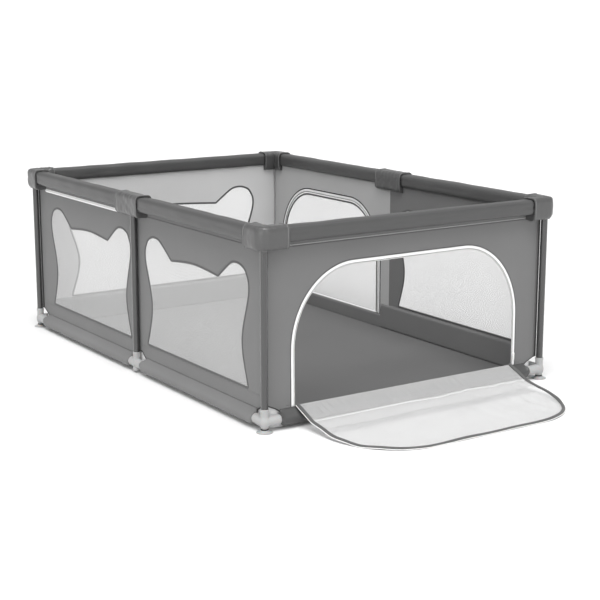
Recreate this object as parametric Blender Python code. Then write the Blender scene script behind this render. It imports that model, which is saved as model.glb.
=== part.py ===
"""A rectangular baby playpen: six steel posts between plastic feet and hidden top corner
connectors, round tubes top and bottom, padded top rails with fabric caps, four fabric walls
with mesh windows, a floor mat, and two zipped mesh doors.

Metres, +Z up.  The origin is on the ground, in the middle of the floor mat's underside.
Front is -Y, the short side with the open door.  Left is -X.
"""

import math

import bmesh
import bpy
from mathutils import Matrix, Vector

# Overall sizes, between the centre lines of the corner posts
LENGTH = 1.80
WIDTH = 1.20
HEIGHT = 0.680

# Clearances
GAP = 0.0003
FIT = 0.0003
CAP_HOLE_FIT = 0.0008
FOLD_GAP = 0.0004
POST_CLEARANCE = 0.001
TUBE_CLEARANCE = 0.0015
BORE_OVERRUN = 0.01
WELD = 0.00001

# Tubes
POST_RADIUS = 0.0125
TUBE_RADIUS = 0.011
STEEL_WALL = 0.0012
ROUND_SIDES = 14
HIDDEN_SIDES = 10
CUP_SIDES = 16

# Connectors, at the feet and at the top
SOCKET_WALL = 0.0022
SOCKET_RADIUS = POST_RADIUS + FIT + SOCKET_WALL
SOCKET_FLOOR = 0.004
BORE_START = SOCKET_RADIUS + SOCKET_FLOOR
ARM_ROOT = 0.003

# Feet and suction cups
FOOT_BASE_Z = 0.012
MID_FOOT_BASE_Z = 0.008
LOW_TUBE_Z = 0.036
POST_START_Z = LOW_TUBE_Z + 0.017
FOOT_TOP_Z = LOW_TUBE_Z + 0.043
SOCKET_FLARE = 0.0012
FOOT_LIP = 0.008
ARM_WALL = 0.0059
ARM_RADIUS = TUBE_RADIUS + FIT + ARM_WALL
ARM_CHAMFER = 0.004
CORNER_ARM_REACH = 0.062
MID_ARM_REACH = 0.048
CUP_RADIUS = 0.0275
CUP_THICKNESS = 0.0085
CUP_NECK_RADIUS = 0.009
CUP_STEM_RADIUS = 0.005
CUP_STEM_LENGTH = 0.008
CUP_HOLLOW = 0.005
CUP_DOME_RADIUS = 0.0165
CUP_DOME_Z = 0.0035
CUP_LIP = 0.003

# Padded rails, and the caps that wrap their ends
RAIL_HALF_WIDTH = 0.030
RAIL_DEPTH = 0.056
RAIL_TOP_Z = HEIGHT - 0.006
RAIL_LOW_Z = RAIL_TOP_Z - RAIL_DEPTH
RAIL_CORNER = 0.020
CAP_DEPTH = 0.084
CAP_LOW_Z = HEIGHT - CAP_DEPTH
CAP_HALF_WIDTH = RAIL_HALF_WIDTH + 0.004
CAP_CORNER = RAIL_CORNER + 0.002
CAP_HOLLOW = SOCKET_RADIUS + 0.007
CAP_WALL = CAP_HALF_WIDTH - CAP_HOLLOW
CAP_BEND = CAP_HALF_WIDTH + 0.006
CAP_BEND_STEPS = 4
CORNER_CAP_REACH = 0.078
MID_CAP_REACH = 0.086

# Top connectors
TOP_TUBE_Z = RAIL_TOP_Z - 0.026
TOP_SOCKET_LOW_Z = CAP_LOW_Z + 0.004
POST_END_Z = TOP_TUBE_Z - 0.019
TOP_ARM_REACH = 0.050
TOP_ARM_WALL = 0.0047
TOP_ARM_RADIUS = TUBE_RADIUS + FIT + TOP_ARM_WALL
TOP_ARM_CHAMFER = 0.001

# Fabric walls, each with a hem sleeve round its bottom tube
WALL_THICKNESS = 0.002
HEM_WALL = 0.002
WALL_INSET = max(POST_RADIUS + WALL_THICKNESS / 2 + POST_CLEARANCE,
                 TUBE_RADIUS + HEM_WALL + TUBE_CLEARANCE)
WALL_LOW_Z = LOW_TUBE_Z - 0.003
HEM_DEPTH = WALL_INSET + TUBE_RADIUS + HEM_WALL + 0.006
HEM_LOW_Z = LOW_TUBE_Z - TUBE_RADIUS - HEM_WALL - 0.013
HEM_TOP_Z = LOW_TUBE_Z + TUBE_RADIUS + HEM_WALL + 0.007
HEM_CORNER = TUBE_RADIUS + HEM_WALL
NOTCH_CLEARANCE = 0.006
CORNER_NOTCH = CORNER_ARM_REACH + NOTCH_CLEARANCE
MID_NOTCH = MID_ARM_REACH + NOTCH_CLEARANCE
NOTCH_TOP_Z = FOOT_TOP_Z + 0.003
NOTCH_SHOULDER_Z = FOOT_TOP_Z - 0.012
NOTCH_MOUTH = SOCKET_RADIUS + 0.004
NOTCH_SLANT = 0.016

# Mesh windows, a crown outline
MESH_THICKNESS = 0.001
WINDOW_LOW_Z = HEM_TOP_Z + 0.064
WINDOW_TOP_Z = RAIL_LOW_Z - 0.090
WINDOW_DIP_Z = WINDOW_TOP_Z - 0.065
WINDOW_CREST_Z = WINDOW_TOP_Z - 0.052
WINDOW_SHOULDER_Z = WINDOW_TOP_Z - 0.088
WINDOW_WAIST_Z = WINDOW_LOW_Z + 0.152
WINDOW_OUTER_MARGIN = 0.119
WINDOW_INNER_MARGIN = 0.061
BACK_WINDOW_MARGIN = 0.140
LOBE_FROM_SIDE = 0.080
DIP_FROM_SIDE = 0.195
WAIST_FROM_SIDE = 0.044
SPLAY_FROM_SIDE = 0.006
LOBE_STEPS = 4
CREST_STEPS = 3

# Doors
DOOR_SILL_Z = HEM_TOP_Z + 0.012
SILL_DROP = 0.0022
DOOR_TOP_Z = RAIL_LOW_Z - 0.102
DOOR_MARGIN = 0.127
DOOR_CORNER_WIDTH = 0.236
DOOR_CORNER_HEIGHT = 0.266
SIDE_DOOR_TOP_Z = RAIL_LOW_Z - 0.097
SIDE_DOOR_MARGIN = 0.079
SIDE_DOOR_OUTER_MARGIN = 0.099
SIDE_DOOR_CORNER_WIDTH = 0.206
SIDE_DOOR_CORNER_HEIGHT = 0.236
DOOR_GAP = 0.0008
FLAP_THICKNESS = 0.002
APRON_LENGTH = 0.098
APRON_SLOPE = 22.0
ARC_STEPS = 12
SHARPEST_MITRE = 0.25

# Zip sliders
SLIDER_WIDTH = 0.012
SLIDER_HEIGHT = 0.018
SLIDER_DEPTH = 0.005
SLIDER_REST_Z = DOOR_SILL_Z + 0.026
TAB_WIDTH = 0.007
TAB_LENGTH = 0.026
TAB_DEPTH = 0.0018
TAB_DROP = 0.0045
TAPE_WIDTH = 0.014

# Floor mat
MAT_THICKNESS = 0.012
MAT_CHAMFER = 0.045


# ---------------------------------------------------------------- basic tools

def clear_scene():
    for item in list(bpy.data.objects):
        bpy.data.objects.remove(item, do_unlink=True)


def make_material(name, colour, roughness, metallic=0.0):
    material = bpy.data.materials.new(name)
    material.use_nodes = True
    shader = material.node_tree.nodes["Principled BSDF"]
    shader.inputs["Base Color"].default_value = (*colour, 1.0)
    shader.inputs["Roughness"].default_value = roughness
    shader.inputs["Metallic"].default_value = metallic
    return material


def add_mesh_object(name, bm, material):
    """Close the bmesh into an object of this name, with outward faces."""
    bmesh.ops.recalc_face_normals(bm, faces=bm.faces)
    mesh = bpy.data.meshes.new(name)
    bm.to_mesh(mesh)
    bm.free()
    mesh.materials.append(material)
    item = bpy.data.objects.new(name, mesh)
    bpy.context.scene.collection.objects.link(item)
    return item


def combine(base, tools, operation):
    """Apply one exact Boolean to base for each tool, and remove the tools."""
    for tool in tools:
        modifier = base.modifiers.new(operation, "BOOLEAN")
        modifier.operation = operation
        modifier.solver = "EXACT"
        modifier.object = tool
    bpy.context.view_layer.update()
    graph = bpy.context.evaluated_depsgraph_get()
    result = bpy.data.meshes.new_from_object(base.evaluated_get(graph))
    base.modifiers.clear()
    base.data = result
    for tool in tools:
        bpy.data.objects.remove(tool, do_unlink=True)
    return base


def circle(radius, sides=ROUND_SIDES):
    """Points round a circle, as (across, up) pairs."""
    turn = 2 * math.pi / sides
    return [(radius * math.cos(turn * i), radius * math.sin(turn * i)) for i in range(sides)]


def rounded_rectangle(low, high, corner, steps=3):
    """A rectangle from low to high with round corners, as (across, up) pairs."""
    centres = [(high[0] - corner, high[1] - corner, 0), (low[0] + corner, high[1] - corner, 90),
               (low[0] + corner, low[1] + corner, 180), (high[0] - corner, low[1] + corner, 270)]
    points = []
    for across, up, start in centres:
        for step in range(steps + 1):
            angle = math.radians(start + 90 * step / steps)
            points.append((across + corner * math.cos(angle), up + corner * math.sin(angle)))
    return points


def add_ring(bm, points):
    return [bm.verts.new(point) for point in points]


def bridge_rings(bm, first, second):
    count = len(first)
    for i in range(count):
        j = (i + 1) % count
        bm.faces.new((first[i], first[j], second[j], second[i]))


def sweep(name, stations, outer, inner, material):
    """Carry a ring profile along stations of (origin, across vector).

    A profile point (a, z) goes to origin + a * across + z * up.  With no inner profile the
    ends are flat caps, and with one they are rings, so the piece is an open sleeve.
    """
    bm = bmesh.new()
    up = Vector((0, 0, 1))
    outer_rings = []
    inner_rings = []
    for origin, across in stations:
        outer_rings.append(add_ring(bm, [origin + a * across + z * up for a, z in outer]))
        if inner:
            inner_rings.append(add_ring(bm, [origin + a * across + z * up for a, z in inner]))
    for rings in (outer_rings, inner_rings):
        for first, second in zip(rings, rings[1:]):
            bridge_rings(bm, first, second)
    if inner:
        bridge_rings(bm, outer_rings[0], inner_rings[0])
        bridge_rings(bm, outer_rings[-1], inner_rings[-1])
    else:
        bm.faces.new(outer_rings[0])
        bm.faces.new(outer_rings[-1])
    bmesh.ops.remove_doubles(bm, verts=bm.verts, dist=WELD)
    return add_mesh_object(name, bm, material)


def straight_stations(start, end):
    """Two stations from start to end of a level run, and the vector across it."""
    along = (end - start).normalized()
    across = along.cross(Vector((0, 0, 1)))
    return [(start, across), (end, across)]


def upright(name, profile, centre, material, sides=ROUND_SIDES):
    """Turn a closed (radius, height) profile round a vertical axis through centre.

    A radius of zero is a point on the axis.
    """
    bm = bmesh.new()
    rings = []
    for radius, height in profile:
        if radius == 0:
            rings.append([bm.verts.new((centre.x, centre.y, height))])
        else:
            ring = [(centre.x + a, centre.y + b, height) for a, b in circle(radius, sides)]
            rings.append(add_ring(bm, ring))
    pairs = list(zip(rings, rings[1:]))
    if len(rings[0]) > 1:
        pairs.append((rings[-1], rings[0]))
    for first, second in pairs:
        if len(first) > 1 and len(second) > 1:
            bridge_rings(bm, first, second)
        elif len(first) > 1 or len(second) > 1:
            ring = first if len(first) > 1 else second
            tip = second[0] if len(first) > 1 else first[0]
            for i in range(sides):
                bm.faces.new((ring[i], ring[(i + 1) % sides], tip))
    return add_mesh_object(name, bm, material)


def chamfered_bar(start, end, radius, tip, material, sides=ROUND_SIDES):
    """A solid round bar from start, with a chamfer of size tip round its far end."""
    along = (end - start).normalized()
    across = along.cross(Vector((0, 0, 1)))
    up = Vector((0, 0, 1))
    length = (end - start).length
    bm = bmesh.new()
    made = []
    for distance, size in ((0, radius), (length - tip, radius), (length, radius - tip)):
        origin = start + along * distance
        made.append(add_ring(bm, [origin + a * across + b * up for a, b in circle(size, sides)]))
    for first, second in zip(made, made[1:]):
        bridge_rings(bm, first, second)
    bm.faces.new(made[0])
    bm.faces.new(made[-1])
    return add_mesh_object("bar", bm, material)


def solid_bar(start, end, radius, material):
    """A plain round bar, used to bore a hole."""
    return sweep("bore", straight_stations(start, end), circle(radius), None, material)


def solid_post(centre, low, high, radius, material):
    """A plain upright round bar, used to bore a hole."""
    return upright("bore", [(0, low), (radius, low), (radius, high), (0, high)], centre, material)


# ---------------------------------------------------------------- outlines

def smooth_between(points, steps):
    """Catmull-Rom curve from the first point to the last, through those between."""
    ends = [points[0]] + points + [points[-1]]
    result = []
    for i in range(1, len(ends) - 2):
        p0, p1, p2, p3 = (Vector(p) for p in ends[i - 1:i + 3])
        for step in range(steps):
            t = step / steps
            value = 0.5 * (2 * p1 + (p2 - p0) * t + (2 * p0 - 5 * p1 + 4 * p2 - p3) * t ** 2
                           + (3 * p1 - p0 - 3 * p2 + p3) * t ** 3)
            result.append((value.x, value.y))
    result.append(tuple(points[-1]))
    return result


def crown_outline(centre, half_width):
    """Two round lobes with a shallow crest between, waisted sides and a straight foot."""
    side = half_width
    right = smooth_between(
        [(side - SPLAY_FROM_SIDE, WINDOW_LOW_Z),
         (side - WAIST_FROM_SIDE, WINDOW_WAIST_Z),
         (side, WINDOW_SHOULDER_Z),
         (side - LOBE_FROM_SIDE, WINDOW_TOP_Z),
         (side - DIP_FROM_SIDE, WINDOW_DIP_Z)], LOBE_STEPS)
    crest = smooth_between([(side - DIP_FROM_SIDE, WINDOW_DIP_Z), (0, WINDOW_CREST_Z),
                            (DIP_FROM_SIDE - side, WINDOW_DIP_Z)], CREST_STEPS)[1:-1]
    left = [(-across, up) for across, up in reversed(right)]
    return [(centre + across, up) for across, up in right + crest + left]


def arch_outline(centre, half_width, sill, top, corner_width, corner_height):
    """Straight sides on a level sill, and elliptical corners up to a level top."""
    right = [(half_width, sill)]
    for step in range(ARC_STEPS + 1):
        angle = math.radians(90 * step / ARC_STEPS)
        right.append((half_width - corner_width + corner_width * math.cos(angle),
                      top - corner_height + corner_height * math.sin(angle)))
    left = [(-across, up) for across, up in reversed(right)]
    return [(centre + across, up) for across, up in right + left]


def inset(outline, distance):
    """Move each point of a counter-clockwise outline inwards by about the distance."""
    moved = []
    count = len(outline)
    for i in range(count):
        before = Vector(outline[i - 1])
        here = Vector(outline[i])
        after = Vector(outline[(i + 1) % count])
        first = (here - before).normalized()
        second = (after - here).normalized()
        inward = Vector((-first.y - second.y, first.x + second.x)) / 2
        moved.append(tuple(here + inward * distance / max(inward.length_squared, SHARPEST_MITRE)))
    return moved


def sheet(name, outlines, thickness, material):
    """A flat sheet in the XZ plane: the first outline less the others, centred on y = 0."""
    bm = bmesh.new()
    for outline in outlines:
        ring = add_ring(bm, [(across, -thickness / 2, up) for across, up in outline])
        for i in range(len(ring)):
            bm.edges.new((ring[i], ring[(i + 1) % len(ring)]))
    bmesh.ops.triangle_fill(bm, edges=bm.edges, use_beauty=True, normal=(0, -1, 0))
    grown = bmesh.ops.extrude_face_region(bm, geom=bm.faces)
    moved = [item for item in grown["geom"] if isinstance(item, bmesh.types.BMVert)]
    bmesh.ops.translate(bm, verts=moved, vec=(0, thickness, 0))
    return add_mesh_object(name, bm, material)


# ---------------------------------------------------------------- places

def side_frame(side):
    """The matrix from a wall's own frame to its place.

    In the wall's frame x runs along it, z is up, -y is outwards, and y = 0 is its middle.
    """
    turn = {"front": 0, "right": 90, "back": 180, "left": -90}[side]
    away = (LENGTH if side in ("front", "back") else WIDTH) / 2 - WALL_INSET
    return Matrix.Rotation(math.radians(turn), 4, "Z") @ Matrix.Translation((0, -away, 0))


def post_places():
    places = {}
    for across, side in ((-1, "left"), (1, "right")):
        for along, end in ((-1, "front"), (0, "middle"), (1, "back")):
            places[f"{end}_{side}"] = Vector((across * WIDTH / 2, along * LENGTH / 2, 0))
    return places


def arm_directions(name):
    """The level directions in which a connector holds tubes."""
    end, side = name.split("_")
    inward = Vector((1 if side == "left" else -1, 0, 0))
    if end == "middle":
        return [Vector((0, -1, 0)), Vector((0, 1, 0))]
    return [inward, Vector((0, 1 if end == "front" else -1, 0))]


def tube_runs():
    """Each level run as its name, the posts that it joins."""
    runs = {"front": ("front_left", "front_right"), "back": ("back_left", "back_right")}
    for side in ("left", "right"):
        runs[f"{side}_front"] = (f"front_{side}", f"middle_{side}")
        runs[f"{side}_back"] = (f"middle_{side}", f"back_{side}")
    return runs


def cap_reach(post):
    return MID_CAP_REACH if post.startswith("middle") else CORNER_CAP_REACH


# ---------------------------------------------------------------- frame

def build_posts(steel):
    for name, place in post_places().items():
        low = POST_START_Z + GAP
        high = POST_END_Z - GAP
        inner = POST_RADIUS - STEEL_WALL
        profile = [(POST_RADIUS, low), (POST_RADIUS, high), (inner, high), (inner, low)]
        upright(f"post_{name}", profile, place, steel)


def foot_body(name, place, base, material):
    """The turned middle of a foot: flared foot, waist and a lipped mouth for the post."""
    mouth = SOCKET_RADIUS - SOCKET_FLARE / 2
    profile = [(0, base), (ARM_RADIUS, base), (ARM_RADIUS, LOW_TUBE_Z),
               (mouth - SOCKET_FLARE / 2, LOW_TUBE_Z + ARM_RADIUS),
               (mouth, FOOT_TOP_Z - FOOT_LIP), (SOCKET_RADIUS, FOOT_TOP_Z), (0, FOOT_TOP_Z)]
    return upright(name, profile, place, material)


def build_feet(plastic):
    for name, place in post_places().items():
        corner = not name.startswith("middle")
        base = FOOT_BASE_Z if corner else MID_FOOT_BASE_Z
        reach = CORNER_ARM_REACH if corner else MID_ARM_REACH
        body = foot_body(f"foot_{name}", place, base, plastic)
        axis = place + Vector((0, 0, LOW_TUBE_Z))
        arms = []
        bores = []
        for direction in arm_directions(name):
            arms.append(chamfered_bar(axis - direction * ARM_ROOT, axis + direction * reach,
                                      ARM_RADIUS, ARM_CHAMFER, plastic))
            end = axis + direction * (reach + BORE_OVERRUN)
            bores.append(solid_bar(axis + direction * BORE_START, end, TUBE_RADIUS + FIT, plastic))
        bores.append(solid_post(place, POST_START_Z, FOOT_TOP_Z + BORE_OVERRUN,
                                POST_RADIUS + FIT, plastic))
        if corner:
            roof = FOOT_BASE_Z + CUP_STEM_LENGTH + GAP
            bores.append(solid_post(place, 0.0, roof, CUP_STEM_RADIUS + FIT, plastic))
        combine(body, arms, "UNION")
        combine(body, bores, "DIFFERENCE")


def build_cups(rubber):
    neck = FOOT_BASE_Z - GAP
    for name, place in post_places().items():
        if name.startswith("middle"):
            continue
        profile = [(0, CUP_HOLLOW), (CUP_DOME_RADIUS, CUP_DOME_Z), (CUP_RADIUS - CUP_LIP, 0),
                   (CUP_RADIUS, 0), (CUP_RADIUS - CUP_LIP / 2, CUP_THICKNESS / 2),
                   (CUP_NECK_RADIUS + CUP_LIP, CUP_THICKNESS), (CUP_NECK_RADIUS, neck),
                   (CUP_STEM_RADIUS, neck), (CUP_STEM_RADIUS, FOOT_BASE_Z + CUP_STEM_LENGTH),
                   (0, FOOT_BASE_Z + CUP_STEM_LENGTH)]
        upright(f"suction_cup_{name}", profile, place, rubber, CUP_SIDES)


def build_top_connectors(plastic):
    for name, place in post_places().items():
        top = TOP_TUBE_Z + TOP_ARM_RADIUS / 2
        profile = [(0, TOP_SOCKET_LOW_Z), (SOCKET_RADIUS, TOP_SOCKET_LOW_Z), (SOCKET_RADIUS, top),
                   (0, top)]
        body = upright(f"top_connector_{name}", profile, place, plastic, HIDDEN_SIDES)
        axis = place + Vector((0, 0, TOP_TUBE_Z))
        arms = []
        bores = []
        for direction in arm_directions(name):
            end = axis + direction * TOP_ARM_REACH
            arms.append(chamfered_bar(axis - direction * ARM_ROOT, end,
                                      TOP_ARM_RADIUS, TOP_ARM_CHAMFER, plastic, HIDDEN_SIDES))
            bores.append(solid_bar(axis + direction * BORE_START, end + direction * BORE_OVERRUN,
                                   TUBE_RADIUS + FIT, plastic))
        bores.append(solid_post(place, TOP_SOCKET_LOW_Z - BORE_OVERRUN, POST_END_Z,
                                POST_RADIUS + FIT, plastic))
        combine(body, arms, "UNION")
        combine(body, bores, "DIFFERENCE")


def run_between(first, second, start_gap, end_gap, height):
    """The ends of a level run that stops short of the two posts by the gaps."""
    places = post_places()
    along = (places[second] - places[first]).normalized()
    up = Vector((0, 0, height))
    return places[first] + along * start_gap + up, places[second] - along * end_gap + up


def build_tubes(steel):
    for level, height in (("bottom", LOW_TUBE_Z), ("top", TOP_TUBE_Z)):
        for name, (first, second) in tube_runs().items():
            start, end = run_between(first, second, BORE_START + GAP, BORE_START + GAP, height)
            sweep(f"{level}_tube_{name}", straight_stations(start, end),
                  circle(TUBE_RADIUS), circle(TUBE_RADIUS - STEEL_WALL), steel)


# ---------------------------------------------------------------- padded top edge

def build_rail_pads(padding):
    low = (-RAIL_HALF_WIDTH, RAIL_LOW_Z - TOP_TUBE_Z)
    high = (RAIL_HALF_WIDTH, RAIL_TOP_Z - TOP_TUBE_Z)
    outer = rounded_rectangle(low, high, RAIL_CORNER)
    inner = circle(TUBE_RADIUS + FIT, len(outer))
    for name, (first, second) in tube_runs().items():
        start, end = run_between(first, second, cap_reach(first) + GAP, cap_reach(second) + GAP,
                                 TOP_TUBE_Z)
        sweep(f"rail_pad_{name}", straight_stations(start, end), outer, inner, padding)


def cap_stations(name, place):
    """Stations along a cap: straight at a middle post, a fan round the inner edge at a corner.

    Each across vector runs from the inner edge to the outer one, a cap's width at its straight
    ends, so the outer face turns the corner on its own radius.
    """
    first, second = arm_directions(name)
    reach = cap_reach(name)
    if name.startswith("middle"):
        across = first.cross(Vector((0, 0, 1)))
        return [(place + first * reach, across), (place + second * reach, across)]
    inner_edge = place + (first + second) * CAP_HALF_WIDTH
    centre = place + (first + second) * (CAP_BEND - CAP_HALF_WIDTH)
    stations = [(place + first * reach, -second)]
    for step in range(CAP_BEND_STEPS + 1):
        angle = math.radians(90 * step / CAP_BEND_STEPS)
        outer_edge = centre - (second * math.cos(angle) + first * math.sin(angle)) * CAP_BEND
        across = (outer_edge - inner_edge) / (2 * CAP_HALF_WIDTH)
        stations.append(((outer_edge + inner_edge) / 2, across))
    stations.append((place + second * reach, -first))
    return stations


def build_caps(padding):
    outer = rounded_rectangle((-CAP_HALF_WIDTH, CAP_LOW_Z), (CAP_HALF_WIDTH, HEIGHT), CAP_CORNER)
    inner = rounded_rectangle((-CAP_HOLLOW, CAP_LOW_Z + 2 * CAP_WALL),
                              (CAP_HOLLOW, HEIGHT - CAP_WALL),
                              CAP_CORNER - CAP_WALL)
    for name, place in post_places().items():
        cap = sweep(f"rail_cap_{name}", cap_stations(name, place), outer, inner, padding)
        hole = solid_post(place, CAP_LOW_Z - BORE_OVERRUN, TOP_TUBE_Z,
                          SOCKET_RADIUS + CAP_HOLE_FIT, padding)
        combine(cap, [hole], "DIFFERENCE")


# ---------------------------------------------------------------- fabric walls

def wall_outline(half_span, post_spots):
    """A wall's edge, with a notch over each foot and a step under each cap.

    post_spots are (place along the wall, notch, cap reach) from left to right.
    """
    rail_edge = RAIL_LOW_Z - GAP
    cap_edge = CAP_LOW_Z - GAP
    bottom = []
    top = []
    for spot, notch, reach in post_spots:
        for sense in (-1, 1):
            foot = spot + sense * notch
            if abs(foot) < half_span:
                step = [(spot + sense * NOTCH_MOUTH, NOTCH_TOP_Z),
                        (foot - sense * NOTCH_SLANT, NOTCH_SHOULDER_Z),
                        (foot, HEM_TOP_Z), (foot, WALL_LOW_Z)]
                bottom += step if sense > 0 else step[::-1]
                top += [(spot + sense * reach, cap_edge), (spot + sense * reach, rail_edge)][::sense]
    ends = [(half_span, NOTCH_TOP_Z), (half_span, cap_edge)]
    start = [(-half_span, cap_edge), (-half_span, NOTCH_TOP_Z)]
    return bottom + ends + top[::-1] + start


def hem_sleeve(start, end, material):
    """The sewn tunnel along a wall's foot that holds the bottom tube, in the wall's frame."""
    outer = rounded_rectangle((-HEM_DEPTH, HEM_LOW_Z), (0, HEM_TOP_Z), HEM_CORNER)
    inner = rounded_rectangle((HEM_WALL - HEM_DEPTH, HEM_LOW_Z + HEM_WALL),
                              (-HEM_WALL, HEM_TOP_Z - HEM_WALL), HEM_CORNER - HEM_WALL)
    stations = [(Vector((start, 0, 0)), Vector((0, 1, 0))), (Vector((end, 0, 0)), Vector((0, 1, 0)))]
    return sweep("hem", stations, outer, inner, material)


def spots_along(side):
    """The posts behind a wall, in the wall's frame: (place, notch, cap reach)."""
    corner = (LENGTH if side in ("left", "right") else WIDTH) / 2
    ends = [(-corner, CORNER_NOTCH, CORNER_CAP_REACH), (corner, CORNER_NOTCH, CORNER_CAP_REACH)]
    if side in ("front", "back"):
        return ends
    return [ends[0], (0, MID_NOTCH, MID_CAP_REACH), ends[1]]


def panel_middle(outer_margin, inner_margin):
    """The middle and half width of an outline between a corner post and the middle post."""
    low = inner_margin
    high = LENGTH / 2 - outer_margin
    return (low + high) / 2, (high - low) / 2


def window_outlines(side):
    """The crown windows of a wall, in the wall's frame."""
    if side == "front":
        return []
    if side == "back":
        return [crown_outline(0, WIDTH / 2 - BACK_WINDOW_MARGIN)]
    middle, half_width = panel_middle(WINDOW_OUTER_MARGIN, WINDOW_INNER_MARGIN)
    if side == "right":
        return [crown_outline(-middle, half_width)]
    return [crown_outline(middle, half_width), crown_outline(-middle, half_width)]


def door_outline(side, sill):
    """The clear doorway of a wall, in the wall's frame."""
    if side == "front":
        return arch_outline(0, WIDTH / 2 - DOOR_MARGIN, sill, DOOR_TOP_Z,
                            DOOR_CORNER_WIDTH, DOOR_CORNER_HEIGHT)
    middle, half_width = panel_middle(SIDE_DOOR_OUTER_MARGIN, SIDE_DOOR_MARGIN)
    return arch_outline(middle, half_width, sill, SIDE_DOOR_TOP_Z,
                        SIDE_DOOR_CORNER_WIDTH, SIDE_DOOR_CORNER_HEIGHT)


def build_walls(cloth, mesh_cloth):
    for side in ("front", "back", "left", "right"):
        spots = spots_along(side)
        half_span = spots[-1][0] - WALL_INSET
        if side in ("left", "right"):
            half_span += WALL_THICKNESS / 2
        else:
            half_span -= WALL_THICKNESS / 2 + GAP
        outlines = [wall_outline(half_span, spots)]
        windows = window_outlines(side)
        outlines += windows
        if side in ("front", "right"):
            outlines.append(door_outline(side, DOOR_SILL_Z - SILL_DROP))
        wall = sheet(f"wall_{side}", outlines, WALL_THICKNESS, cloth)
        hems = []
        for first, second in zip(spots, spots[1:]):
            hems.append(hem_sleeve(first[0] + first[1], second[0] - second[1], cloth))
        combine(wall, hems, "UNION")
        wall.matrix_world = side_frame(side)
        for index, outline in enumerate(windows):
            label = f"mesh_window_{side}"
            if len(windows) > 1:
                label += ("_front", "_back")[index]
            window = sheet(label, [inset(outline, GAP)], MESH_THICKNESS, mesh_cloth)
            window.matrix_world = side_frame(side)


def build_mat(cloth):
    """The mat fills the floor between the walls and the middle feet, its corners cut off."""
    edge = max(ARM_RADIUS, WALL_INSET + WALL_THICKNESS / 2) + GAP
    half_width = WIDTH / 2 - edge
    half_length = LENGTH / 2 - edge
    bm = bmesh.new()
    rings = []
    for height in (0, MAT_THICKNESS):
        corners = []
        for across, along in ((1, 1), (-1, 1), (-1, -1), (1, -1)):
            first = (across * half_width, along * (half_length - MAT_CHAMFER), height)
            second = (across * (half_width - MAT_CHAMFER), along * half_length, height)
            corners += [first, second] if across * along > 0 else [second, first]
        rings.append(add_ring(bm, corners))
    bridge_rings(bm, rings[0], rings[1])
    bm.faces.new(rings[0])
    bm.faces.new(rings[1])
    add_mesh_object("floor_mat", bm, cloth)


# ---------------------------------------------------------------- doors

def add_empty(name, parent, location, turn):
    empty = bpy.data.objects.new(name, None)
    bpy.context.scene.collection.objects.link(empty)
    empty.parent = parent
    empty.location = location
    empty.rotation_euler = (math.radians(turn), 0, 0)
    return empty


def clip_outline(outline, low, high):
    """The part of a convex outline between two heights."""
    kept = []
    count = len(outline)
    for i in range(count):
        here = outline[i]
        after = outline[(i + 1) % count]
        if low <= here[1] <= high:
            kept.append(here)
        marks = [mark for mark in (low, high) if (here[1] - mark) * (after[1] - mark) < 0]
        for mark in sorted(marks, key=lambda value: abs(value - here[1])):
            share = (mark - here[1]) / (after[1] - here[1])
            kept.append((here[0] + (after[0] - here[0]) * share, mark))
    return kept


def door_piece(name, outline, low, high, hinge_height, parent, cloth):
    """The stretch of a door between two heights, hung on its hinge empty."""
    part = [(across, up - hinge_height) for across, up in clip_outline(outline, low, high)]
    piece = sheet(name, [part], FLAP_THICKNESS, cloth)
    piece.parent = parent
    return piece


def build_front_door(mesh_cloth):
    """The open door: an apron hinged on the sill, and a flap folded at its far edge."""
    place = add_empty("front_wall_place", None, (0, 0, 0), 0)
    place.matrix_world = side_frame("front")
    outline = inset(door_outline("front", DOOR_SILL_Z - SILL_DROP), DOOR_GAP)
    crease = DOOR_SILL_Z + APRON_LENGTH
    drop = APRON_LENGTH * math.sin(math.radians(APRON_SLOPE))
    flap_length = DOOR_TOP_Z - DOOR_GAP - crease
    flap_slope = math.degrees(math.asin((DOOR_SILL_Z - drop - FLAP_THICKNESS) / flap_length))
    sill_hinge = add_empty("front_sill_hinge", place, (0, 0, DOOR_SILL_Z), 90 + APRON_SLOPE)
    crease_hinge = add_empty("front_crease_hinge", sill_hinge, (0, 0, APRON_LENGTH),
                             flap_slope - APRON_SLOPE)
    door_piece("front_door_apron", outline, DOOR_SILL_Z + FLAP_THICKNESS, crease - FOLD_GAP,
               DOOR_SILL_Z, sill_hinge, mesh_cloth)
    door_piece("front_door_flap", outline, crease + FOLD_GAP, DOOR_TOP_Z, crease,
               crease_hinge, mesh_cloth)


def build_side_door(mesh_cloth):
    """The closed door of the right wall, one flap hinged on its sill."""
    place = add_empty("side_wall_place", None, (0, 0, 0), 0)
    place.matrix_world = side_frame("right")
    outline = inset(door_outline("right", DOOR_SILL_Z - SILL_DROP), DOOR_GAP)
    hinge = add_empty("side_sill_hinge", place, (0, 0, DOOR_SILL_Z), 0)
    door_piece("side_door_flap", outline, DOOR_SILL_Z + FLAP_THICKNESS, SIDE_DOOR_TOP_Z,
               DOOR_SILL_Z, hinge, mesh_cloth)


def build_slider(name, side, along, plastic):
    """A zip slider on the outer face of a wall, with its pull tab hanging in front."""
    face = -WALL_THICKNESS / 2 - GAP
    body = box(name, (along - SLIDER_WIDTH / 2, face - SLIDER_DEPTH, SLIDER_REST_Z),
               (along + SLIDER_WIDTH / 2, face, SLIDER_REST_Z + SLIDER_HEIGHT), plastic)
    tab_top = SLIDER_REST_Z + SLIDER_HEIGHT - TAB_DROP
    front = face - SLIDER_DEPTH + GAP
    tab = box("tab", (along - TAB_WIDTH / 2, front - TAB_DEPTH, tab_top - TAB_LENGTH),
              (along + TAB_WIDTH / 2, front, tab_top), plastic)
    combine(body, [tab], "UNION")
    body.matrix_world = side_frame(side)


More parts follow.
